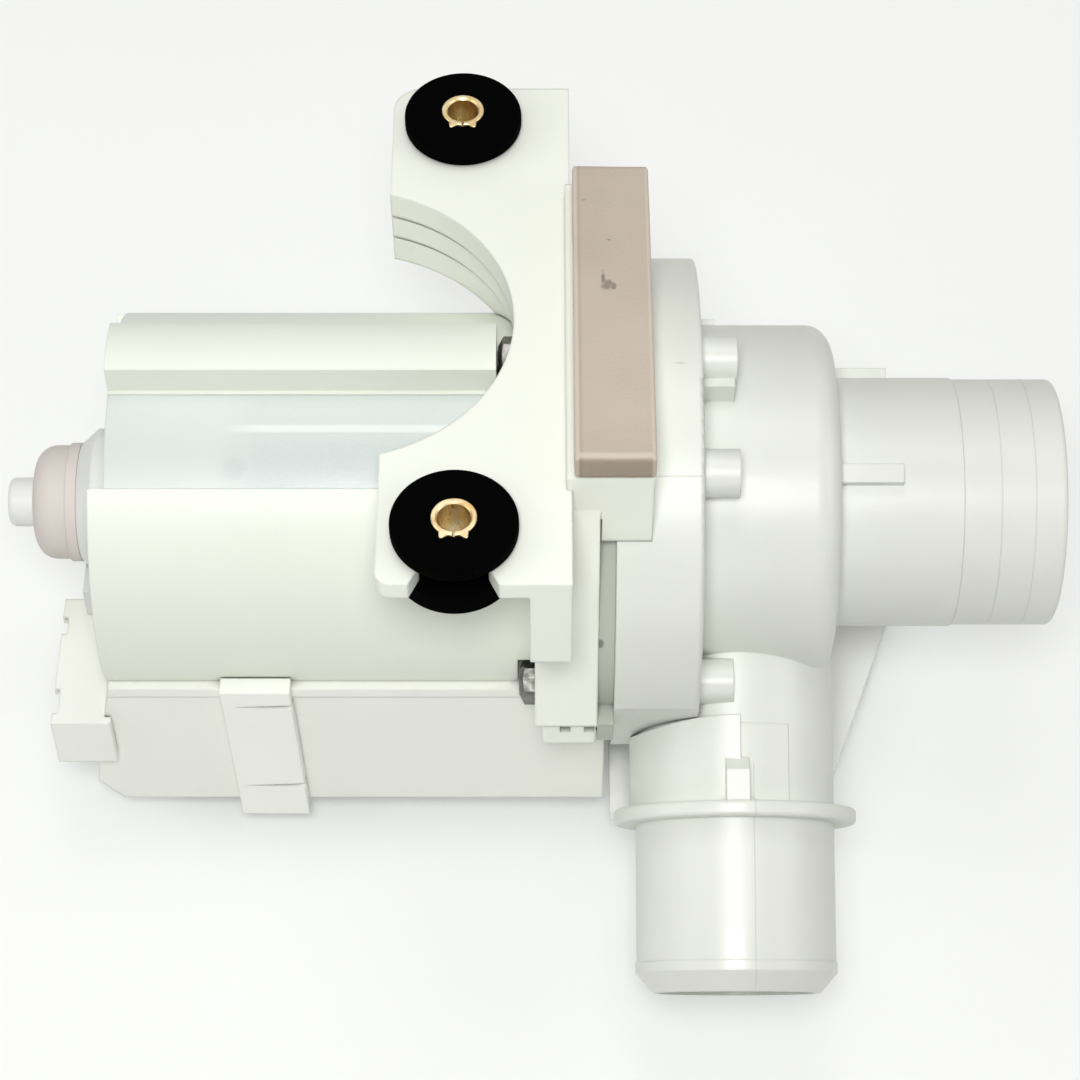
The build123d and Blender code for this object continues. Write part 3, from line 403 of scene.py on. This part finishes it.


# painted shade: a small dark dab where a notch sits at the left edge of the back plate
def plateNotchShade(tree, colour):
    return dabs(tree, colour, plateNotchShadeSet), None


padMarkSet = {
    "rimLine": 1.3, "rimHalf": 0.35, "rimShadeShare": 0.35, "rimShadeTint": (0.40, 0.32, 0.27),
    "endDark": 0.2, "endPale": 0.5, "endShare": 0.55, "endTint": (0.27, 0.21, 0.15),
    "paleRim": 0.3, "palePast": 1.2, "paleHalf": 0.8, "paleShare": 0.5, "paleTint": (0.72, 0.64, 0.55),
    "dabs": (
        ((-46.0, 6.0, 59.0), (1.5, 1.7, 2.0)), ((-46.5, 8.2, 59.0), (0.7, 3.0, 2.0)),
        ((-45.4, 7.0, 59.0), (1.8, 1.3, 2.0)), ((-44.6, 6.2, 59.0), (0.8, 1.9, 2.0)),
        ((-50.0, 28.4, 59.0), (0.6, 0.3, 2.0)), ((-45.3, 18.0, 59.0), (0.6, 0.25, 2.0)),
    ),
    "ragged": 0.9, "share": 0.6, "tint": (0.10, 0.09, 0.08),
}
padLow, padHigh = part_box("foam_pad")


# painted shade in the pressed line beside the left rim, a darker front end face, a painted highlight along
# the rims, and smudges
def padMarks(tree, colour):
    look = padMarkSet
    axes = placeAxes(tree)
    left, right, front = padLow.x / mm, padHigh.x / mm, padLow.y / mm
    rim = lineMask(tree, axes["X"], left + look["rimLine"], look["rimHalf"])
    # painted shade: the pressed line is darkened
    colour = overlay(tree, colour, rim, look["rimShadeShare"], look["rimShadeTint"])
    # the front end face is drawn darker
    darkerFrontEnd = ramp(tree, axes["Y"], (front + look["endDark"]) * mm, (front + look["endPale"]) * mm, 1.0, 0.0)
    colour = overlay(tree, colour, darkerFrontEnd, look["endShare"], look["endTint"])
    # painted highlight: pale bands along the rims
    rims = (("X", left + look["paleRim"]), ("X", right - look["paleRim"]), ("Y", front + look["palePast"]))
    pale = strongest(tree, [lineMask(tree, axes[axis], place, look["paleHalf"]) for axis, place in rims])
    colour = overlay(tree, colour, pale, look["paleShare"], look["paleTint"])
    return dabs(tree, colour, look), rim


# Plastics, rubber and foam

plasticSet = {
    "rough": (0.36, 0.52), "scuffRough": 0.12, "gloss": 0.4, "cloudScale": 25.0, "grainScale": 1400.0,
    "grainHeight": 0.02, "edgeRadius": 0.4, "edgeHighlightShare": 0.35, "edgeHighlightGain": 1.06, "markDepth": 0.06,
    "creviceReach": 3.0, "creviceShadeShare": 0.75, "creviceShadeDark": 0.25,
    "haloShare": 0.0, "haloStart": 0.5, "haloEnd": 0.95,  # faint shade where the surroundings are half open
}
plasticLooks = {
    "bracketWhite": {"lit": (0.875, 0.895, 0.81), "dull": (0.85, 0.87, 0.785), "seed": 1.3,
                     "rough": (0.4, 0.55), "edgeRadius": 0.8, "creviceReach": 8.0, "creviceShadeShare": 0.5,
                     "haloShare": 0.14},
    "bodyCream": {"lit": (0.81, 0.84, 0.75), "dull": (0.78, 0.81, 0.72), "seed": 2.1, "rough": (0.34, 0.5)},
    "boxCream": {"lit": (0.875, 0.885, 0.82), "dull": (0.845, 0.855, 0.79), "seed": 3.7,
                 "rough": (0.38, 0.54), "edgeRadius": 0.7, "marksAndShade": boxGapShade},
    "clipWhite": {"lit": (0.92, 0.93, 0.87), "dull": (0.89, 0.90, 0.84), "seed": 5.2, "edgeRadius": 0.7},
    "voluteGrey": {"lit": (0.725, 0.74, 0.68), "dull": (0.69, 0.705, 0.645), "seed": 7.9,
                   "rough": (0.3, 0.44), "gloss": 0.55, "marksAndShade": voluteMarks},
    "plateGrey": {"lit": (0.50, 0.52, 0.455), "dull": (0.46, 0.48, 0.415), "seed": 4.4,
                  "rough": (0.42, 0.58), "marksAndShade": plateNotchShade},
    "supportWhite": {"lit": (0.94, 0.945, 0.92), "dull": (0.92, 0.925, 0.90), "seed": 6.1},
    "bellFrosted": {"lit": (0.76, 0.77, 0.74), "dull": (0.68, 0.69, 0.66), "seed": 8.8, "cloudScale": 40.0},
    "capPink": {"lit": (0.66, 0.61, 0.57), "dull": (0.57, 0.52, 0.485), "seed": 9.4, "rough": (0.5, 0.66)},
    "plugWhite": {"lit": (0.78, 0.79, 0.77), "dull": (0.74, 0.75, 0.73), "seed": 2.9},
    "windowFrosted": {"lit": (0.65, 0.695, 0.665), "dull": (0.61, 0.66, 0.635), "seed": 3.1,
                      "rough": (0.28, 0.4), "marksAndShade": windowMarks},
    "blackRubber": {"lit": (0.0012, 0.0012, 0.0012), "dull": (0.0006, 0.0006, 0.0006), "seed": 0.6,
                    "rough": (0.75, 0.9), "gloss": 0.01, "edgeHighlightTint": (0.01, 0.01, 0.01),
                    "grainHeight": 0.06},
    "impellerBlack": {"lit": (0.05, 0.05, 0.055), "dull": (0.03, 0.03, 0.034), "seed": 1.1},
    "capacitorGrey": {"lit": (0.6, 0.6, 0.57), "dull": (0.52, 0.52, 0.5), "seed": 4.9},
    "foamBeige": {"lit": (0.55, 0.475, 0.395), "dull": (0.48, 0.41, 0.34), "seed": 6.6,
                  "rough": (0.85, 0.97), "gloss": 0.15, "edgeHighlightTint": (0.66, 0.58, 0.49), "edgeHighlightShare": 0.8,
                  "edgeRadius": 0.7, "grainHeight": 0.12, "grainScale": 1800.0, "marksAndShade": padMarks},
}


# clouded tone with a painted highlight on the edges and painted shade in crevices, then the piece's own
# marks and painted shade
def plasticMaterial(name, own):
    look = {**plasticSet, **own}
    material, tree, shader = newMaterial(name)
    skin = useGroup(tree, skinGroup, {"Cloud Scale": look["cloudScale"], "Grain Scale": look["grainScale"],
                                      "Seed": look["seed"]})
    edge = useGroup(tree, edgeGroup, {"Radius": look["edgeRadius"] * mm})
    crevice = useGroup(tree, creviceGroup, {"Reach": look["creviceReach"] * mm})
    # painted highlight: the edges are tinted lighter than the surface, as if catching the light
    rim = look.get("edgeHighlightTint") or tuple(min(1.0, c * look["edgeHighlightGain"]) for c in look["lit"])
    shade = tuple(c * look["creviceShadeDark"] for c in look["dull"])
    colour = mixColour(tree, skin["Tone"], look["dull"], look["lit"])
    colour = overlay(tree, colour, edge["Edge"], look["edgeHighlightShare"], rim)
    # painted shade: crevices, narrow gaps and inner corners are darkened in the colour
    colour = overlay(tree, colour, crevice["Crevice"], look["creviceShadeShare"], shade)
    # painted shade: a faint darkening where the surroundings are half open
    if look["haloShare"]:
        halo = ramp(tree, crevice["Open"], look["haloStart"], look["haloEnd"], look["haloShare"], 0.0)
        colour = mixColour(tree, halo, colour, shade)
    groove = None
    # the piece's own marks, some of which are painted shade
    if "marksAndShade" in look:
        colour, groove = look["marksAndShade"](tree, colour)
    toneRough = ramp(tree, skin["Tone"], 0.0, 1.0, *look["rough"])
    grainBump = {"Distance": look["grainHeight"] * mm, "Height": skin["Grain"], "Normal": edge["Normal"]}
    normal = node(tree, "ShaderNodeBump", grainBump).outputs[0]
    if groove is not None:
        grooveBump = {"Distance": look["markDepth"] * mm, "Height": groove, "Normal": normal}
        normal = node(tree, "ShaderNodeBump", grooveBump, invert=True).outputs[0]
    feed(tree, shader.inputs, {
        "Base Color": colour, "Normal": normal, "Specular IOR Level": look["gloss"],
        "Roughness": maths(tree, "MULTIPLY_ADD", skin["Scuff"], look["scuffRough"], toneRough),
    })
    return material


# Metals

metalSet = {
    "rough": (0.22, 0.42), "cloudScale": 260.0, "brushScale": (600.0, 600.0, 600.0), "brushDetail": 3.0,
    "brushStart": 0.3, "brushEnd": 0.7, "brushHeight": 0.01, "edgeRadius": 0.2, "edgeHighlightShare": 0.6,
}
metalLooks = {
    "brassRolled": {"lit": (0.80, 0.68, 0.43), "dull": (0.60, 0.40, 0.16), "seed": 1.7},
    "screwSteel": {"lit": (0.27, 0.26, 0.24), "dull": (0.10, 0.10, 0.09), "seed": 2.6,
                   "rough": (0.38, 0.62), "brushScale": (900.0, 900.0, 900.0), "brushHeight": 0.12},
    "laminationSteel": {"lit": (0.36, 0.37, 0.39), "dull": (0.22, 0.22, 0.24), "seed": 3.3,
                        "brushScale": (2600.0, 60.0, 60.0), "brushHeight": 0.06},
    "castAluminium": {"lit": (0.74, 0.75, 0.77), "dull": (0.58, 0.59, 0.61), "seed": 4.1,
                      "rough": (0.4, 0.6)},
    "windingCopper": {"lit": (0.60, 0.25, 0.10), "dull": (0.42, 0.15, 0.05), "seed": 5.5,
                      "rough": (0.3, 0.45)},
}


def metalMaterial(name, own):
    look = {**metalSet, **own}
    material, tree, shader = newMaterial(name)
    skin = useGroup(tree, skinGroup, {"Cloud Scale": look["cloudScale"], "Seed": look["seed"]})
    edge = useGroup(tree, edgeGroup, {"Radius": look["edgeRadius"] * mm})
    brushValues = {"Vector": objectPlace(tree), "Scale": look["brushScale"]}
    brushPlace = node(tree, "ShaderNodeMapping", brushValues).outputs[0]
    brushed = noiseOf(tree, 1.0, look["brushDetail"], brushPlace)
    tone = mixColour(tree, skin["Tone"], look["dull"], look["lit"])
    brushBump = {"Distance": look["brushHeight"] * mm, "Height": brushed, "Normal": edge["Normal"]}
    # painted highlight: the edges are tinted towards the lit colour
    feed(tree, shader.inputs, {
        "Base Color": overlay(tree, tone, edge["Edge"], look["edgeHighlightShare"], look["lit"]),
        "Roughness": ramp(tree, brushed, look["brushStart"], look["brushEnd"], *look["rough"]),
        "Normal": node(tree, "ShaderNodeBump", brushBump).outputs[0],
        "Metallic": 1.0,
    })
    return material


finishes = {name: plasticMaterial(name, own) for name, own in plasticLooks.items()}
for finishName, own in metalLooks.items():
    finishes[finishName] = metalMaterial(finishName, own)

finishNodes = {
    "voluteGrey": ("volute_housing",),
    "plateGrey": ("chamber_back_plate", "coil_bobbins", "thrust_washers"),
    "blackRubber": ("chamber_seal_ring", "shaft_seal", "near_grommet", "far_grommet"),
    "bracketWhite": ("mounting_bracket",),
    "foamBeige": ("foam_pad",),
    "brassRolled": ("near_sleeve", "far_sleeve", "connector_terminals", "rear_bearing", "front_bearing"),
    "screwSteel": ("flange_screws", "support_screws", "rotor_shaft"),
    "bodyCream": ("motor_housing", "top_rail"),
    "windowFrosted": ("window_cover",),
    "bellFrosted": ("rear_end_bell",),
    "capPink": ("rear_bearing_cap",),
    "plugWhite": ("rear_plug",),
    "boxCream": ("capacitor_box", "connector_housing"),
    "clipWhite": ("box_clip",),
    "capacitorGrey": ("run_capacitor",),
    "supportWhite": ("support_plate",),
    "laminationSteel": ("stator_core", "rotor_core"),
    "windingCopper": ("stator_windings",),
    "castAluminium": ("rotor_end_rings",),
    "impellerBlack": ("impeller",),
}
for finishName, nodeNames in finishNodes.items():
    for nodeName in nodeNames:
        for slotRow in nodes[nodeName].material_slots:
            slotRow.material = finishes[finishName]
print("materials made:", len(finishes), "on", sum(map(len, finishNodes.values())), "nodes")

# Foam pad

padSet = {
    "edge": 0.7, "steps": (34, 110, 10), "crown": 0.25, "sideShare": 0.8, "waveScale": 90, "seed": 11,
    "bottom": -0.95,  # share of the half height under which the pad stays flat
}


# closed box of small quads with rounded edges, standing between two corners
def roundBox(name, low, high, steps, edge):
    bm = bmesh.new()
    size = [high[i] - low[i] for i in range(3)]
    seen = {}

    def vertAt(p):
        key = tuple(round(c, 7) for c in p)  # points of neighbouring sides meet
        if key not in seen:
            seen[key] = bm.verts.new(p)
        return seen[key]

    for axis in range(3):
        u, v = (axis + 1) % 3, (axis + 2) % 3
        for side in (0, 1):
            for i in range(steps[u]):
                for j in range(steps[v]):
                    corners = []
                    for di, dj in ((0, 0), (1, 0), (1, 1), (0, 1)):
                        p = [0.0, 0.0, 0.0]
                        p[axis] = high[axis] if side else low[axis]
                        p[u] = low[u] + size[u] * (i + di) / steps[u]
                        p[v] = low[v] + size[v] * (j + dj) / steps[v]
                        corners.append(vertAt(p))
                    if not side:
                        corners.reverse()
                    bm.faces.new(corners)
    for vert in bm.verts:
        inner = Vector([min(max(vert.co[i], low[i] + edge), high[i] - edge) for i in range(3)])
        out = vert.co - inner
        if out.length > edge:
            vert.co = inner + out.normalized() * edge
    return meshObject(name, bm)


foamPad = roundBox("foamStrip", padLow, padHigh, padSet["steps"], padSet["edge"] * mm)
for poly in foamPad.data.polygons:
    poly.use_smooth = True
padMiddle = (padLow + padHigh) / 2
padHalf = (padHigh - padLow) / 2
for vert in foamPad.data.vertices:
    rel = Vector([(vert.co[i] - padMiddle[i]) / padHalf[i] for i in range(3)])
    wave = noise.noise(vert.co * padSet["waveScale"] + Vector((padSet["seed"], 0, 0)))
    pull = 0.5 * (1 + wave) * padSet["crown"] * mm  # from none to the full crown
    if rel.z > padSet["bottom"]:
        vert.co.z -= max(0.0, rel.z) * pull
        vert.co.x -= rel.x * pull * padSet["sideShare"]
        vert.co.y -= rel.y * pull * padSet["sideShare"]
foamPad.data.materials.append(finishes["foamBeige"])
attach(foamPad, "pump")
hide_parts("foam_pad")
print("foam pad made")

# Rolled sleeves of the rubber mounts

sleeveSet = {
    "bore": 3.05, "proud": 0.55, "edge": 0.15, "bevel": 0.35, "steps": 132,
    "seamTurn": -90.0, "seamHalf": 3.4,  # degrees, as are the next two
    "tabTurn": 27.0, "tabHalf": 15.0, "tabReach": 1.15, "tabThick": 0.45,
}


# tube rolled from strip, open at a seam towards the front, with two tabs bent out beside it
def rolledSleeve(name, sleeveNode, rubberNode):
    low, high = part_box(sleeveNode)
    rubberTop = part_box(rubberNode)[1].z
    centre = (low + high) / 2
    outer = (high.x - low.x) / 2
    bore = sleeveSet["bore"] * mm
    top = rubberTop + sleeveSet["proud"] * mm
    underTab = top - sleeveSet["tabThick"] * mm
    edge = sleeveSet["edge"] * mm
    bevel = sleeveSet["bevel"] * mm
    # radius, height and whether the point bends out with the tabs
    profile = [
        (outer, low.z, 0), (outer, underTab, 0), (outer, underTab + edge / 2, 1), (outer, top - edge, 1),
        (outer - edge, top, 1), (bore + bevel, top, 0), (bore, top - bevel, 0), (bore, low.z, 0),
    ]
    bm = bmesh.new()
    rings = []
    seam = sleeveSet["seamHalf"]
    for i in range(sleeveSet["steps"] + 1):
        turn = seam + (360.0 - 2 * seam) * i / sleeveSet["steps"]
        fromSeam = min(turn, 360.0 - turn)
        near = max(0.0, 1.0 - abs(fromSeam - sleeveSet["tabTurn"]) / sleeveSet["tabHalf"])
        flare = near * near * (3 - 2 * near) * sleeveSet["tabReach"] * mm  # eased at root and tip
        angle = math.radians(turn + sleeveSet["seamTurn"])
        ring = []
        for radius, height, bends in profile:
            reach = radius + flare * bends
            place = (centre.x + reach * math.cos(angle), centre.y + reach * math.sin(angle), height)
            ring.append(bm.verts.new(place))
        rings.append(ring)
    count = len(profile)
    for a, b in zip(rings, rings[1:]):
        for k in range(count):
            bm.faces.new((a[k], b[k], b[(k + 1) % count], a[(k + 1) % count]))
    bm.faces.new(list(reversed(rings[0])))
    bm.faces.new(rings[-1])
    bmesh.ops.recalc_face_normals(bm, faces=bm.faces)
    sleeve = meshObject(name, bm)
    sleeve.data.materials.append(finishes["brassRolled"])
    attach(sleeve, "pump")
    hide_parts(sleeveNode)


for side in ("near", "far"):
    rolledSleeve(side + "RolledSleeve", side + "_sleeve", side + "_grommet")
print("sleeves made")

# Copper windings of the four stator coils

coilSet = {
    "count": 4, "firstTurn": 45.0, "layers": 4, "turns": 7, "pointsPerTurn": 48, "corner": 0.35,
    "wireRadius": 0.38, "wireSides": 8, "lowRadius": 21.9, "outerHalfWide": 10.1,
    "pitchShare": 1.04,  # the pitch as a share of the wire's diameter
}


# one layer of wire wound in a rounded rectangle, rising along Z
def makeWindingTree():
    tree, given, result = newGroup("coilLayer", "GeometryNodeTree", {
        "Turns": "Int", "Points Per Turn": "Int", "Half Long": "Float", "Half Wide": "Float",
        "Pitch": "Float", "Wire Radius": "Float", "Corner": "Float",
    }, {"Wire": "Geometry"})
    count = maths(tree, "ADD", maths(tree, "MULTIPLY", given["Turns"], given["Points Per Turn"]), 1.0)
    points = node(tree, "GeometryNodeMeshLine", {"Count": count}).outputs[0]
    index = node(tree, "GeometryNodeInputIndex").outputs[0]
    turn = maths(tree, "DIVIDE", index, given["Points Per Turn"])
    angle = maths(tree, "MULTIPLY", turn, 2 * math.pi)
    sides = []
    for name, reach in (("COSINE", "Half Long"), ("SINE", "Half Wide")):
        wave = maths(tree, name, angle)
        bent = maths(tree, "POWER", maths(tree, "ABSOLUTE", wave), given["Corner"])
        signed = maths(tree, "MULTIPLY", bent, maths(tree, "SIGN", wave))
        sides.append(maths(tree, "MULTIPLY", signed, given[reach]))
    rise = maths(tree, "MULTIPLY", turn, given["Pitch"])
    place = node(tree, "ShaderNodeCombineXYZ", {0: sides[0], 1: sides[1], 2: rise}).outputs[0]
    moved = node(tree, "GeometryNodeSetPosition", {"Geometry": points, "Position": place}).outputs[0]
    path = node(tree, "GeometryNodeMeshToCurve", {0: moved}).outputs[0]
    circleValues = {"Resolution": coilSet["wireSides"], "Radius": given["Wire Radius"]}
    circle = node(tree, "GeometryNodeCurvePrimitiveCircle", circleValues).outputs[0]
    wireValues = {"Curve": path, "Profile Curve": circle, "Fill Caps": True}
    wire = node(tree, "GeometryNodeCurveToMesh", wireValues).outputs[0]
    real = node(tree, "GeometryNodeRealizeInstances", {0: wire}).outputs[0]
    copper = {"Geometry": real, "Material": finishes["windingCopper"]}
    feed(tree, result, {"Wire": node(tree, "GeometryNodeSetMaterial", copper).outputs[0]})
    return tree


def setInputs(modifier, tree, values):
    for item in tree.interface.items_tree:
        if item.item_type == "SOCKET" and item.in_out == "INPUT":
            modifier[item.identifier] = values[item.name]


windingTree = makeWindingTree()
coilLow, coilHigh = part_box("stator_windings")
coilCentre = (coilLow + coilHigh) / 2
outerHalfLong = (coilHigh.x - coilLow.x) / 2
wireRadius = coilSet["wireRadius"] * mm
coils = bmesh.new()
for layer in range(coilSet["layers"]):
    inset = wireRadius + 2 * wireRadius * layer
    holder = addObject("coilHolder", bpy.data.meshes.new("coilHolder"))
    winder = holder.modifiers.new("winding", "NODES")
    winder.node_group = windingTree
    setInputs(winder, windingTree, {
        "Turns": coilSet["turns"], "Points Per Turn": coilSet["pointsPerTurn"],
        "Half Long": outerHalfLong - inset, "Half Wide": coilSet["outerHalfWide"] * mm - inset,
        "Pitch": 2 * wireRadius * coilSet["pitchShare"], "Wire Radius": wireRadius,
        "Corner": coilSet["corner"],
    })
    graph = bpy.context.evaluated_depsgraph_get()
    layerMesh = bpy.data.meshes.new_from_object(holder.evaluated_get(graph))
    for coil in range(coilSet["count"]):
        turned = layerMesh.copy()
        stand = Matrix.Translation((coilCentre.x, 0, 0))
        angle = math.radians(coilSet["firstTurn"] + 360.0 / coilSet["count"] * coil)
        lay = Matrix.Translation((0, 0, coilSet["lowRadius"] * mm))
        turned.transform(stand @ Matrix.Rotation(angle, 4, "X") @ lay)
        coils.from_mesh(turned)
        bpy.data.meshes.remove(turned)
    holder.modifiers.remove(winder)
    bpy.data.objects.remove(holder)
windings = meshObject("copperWindings", coils)
windings.data.materials.append(finishes["windingCopper"])
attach(windings, "pump")
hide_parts("stator_windings")
print("windings made:", len(windings.data.polygons), "faces")

# Floor

floorSet = {
    "touch": (-43.9, 12.0, -52.5), "normal": (0.0517, -0.2345, 0.9707), "gap": 0.3, "halfSize": 3000.0,
    "cloudScale": 6.0, "seed": 3.0, "dull": (0.88, 0.89, 0.87), "lit": (0.90, 0.91, 0.89), "rough": 0.6,
    "shadeReach": 20.0, "shade": (0.62, 0.64, 0.60), "pale": (0.955, 0.965, 0.945), "paleShare": 0.55,
}

# the camera sees part of the floor as evenly pale, less so near the pump, where painted shade also darkens
# the floor's colour
floorMaterial, floorTree, floorShader = newMaterial("paleTable")
floorClouds = {"Cloud Scale": floorSet["cloudScale"], "Seed": floorSet["seed"]}
floorCloud = useGroup(floorTree, skinGroup, floorClouds)["Tone"]
floorTone = mixColour(floorTree, floorCloud, floorSet["dull"], floorSet["lit"])
floorOpen = useGroup(floorTree, creviceGroup, {"Reach": floorSet["shadeReach"] * mm})["Open"]
# painted shade: the floor's colour darkens towards the shade colour where the pump is near
floorColour = mixColour(floorTree, floorOpen, floorSet["shade"], floorTone)
feed(floorTree, floorShader.inputs, {"Base Color": floorColour, "Roughness": floorSet["rough"]})
floorPale = node(floorTree, "ShaderNodeEmission", {"Color": floorSet["pale"]})
cameraRay = node(floorTree, "ShaderNodeLightPath").outputs["Is Camera Ray"]
paleShare = maths(floorTree, "MULTIPLY", floorOpen, floorSet["paleShare"])
paleSeen = maths(floorTree, "MULTIPLY", cameraRay, paleShare)
floorMixValues = {0: paleSeen, 1: floorShader.outputs[0], 2: floorPale.outputs[0]}
floorMix = node(floorTree, "ShaderNodeMixShader", floorMixValues)
feed(floorTree, floorTree.nodes["Material Output"].inputs, {"Surface": floorMix.outputs[0]})

half = floorSet["halfSize"] * mm
floorMesh = bpy.data.meshes.new("floor")
floorCorners = [(-half, -half, 0), (half, -half, 0), (half, half, 0), (-half, half, 0)]
floorMesh.from_pydata(floorCorners, [], [(0, 1, 2, 3)])
floorMesh.materials.append(floorMaterial)
floor = addObject("floor", floorMesh)
floorNormal = Vector(floorSet["normal"])
floor.rotation_euler = floorNormal.to_track_quat("Z", "Y").to_euler()
floor.location = mmVector(floorSet["touch"]) - floorNormal * floorSet["gap"] * mm
print("floor made")
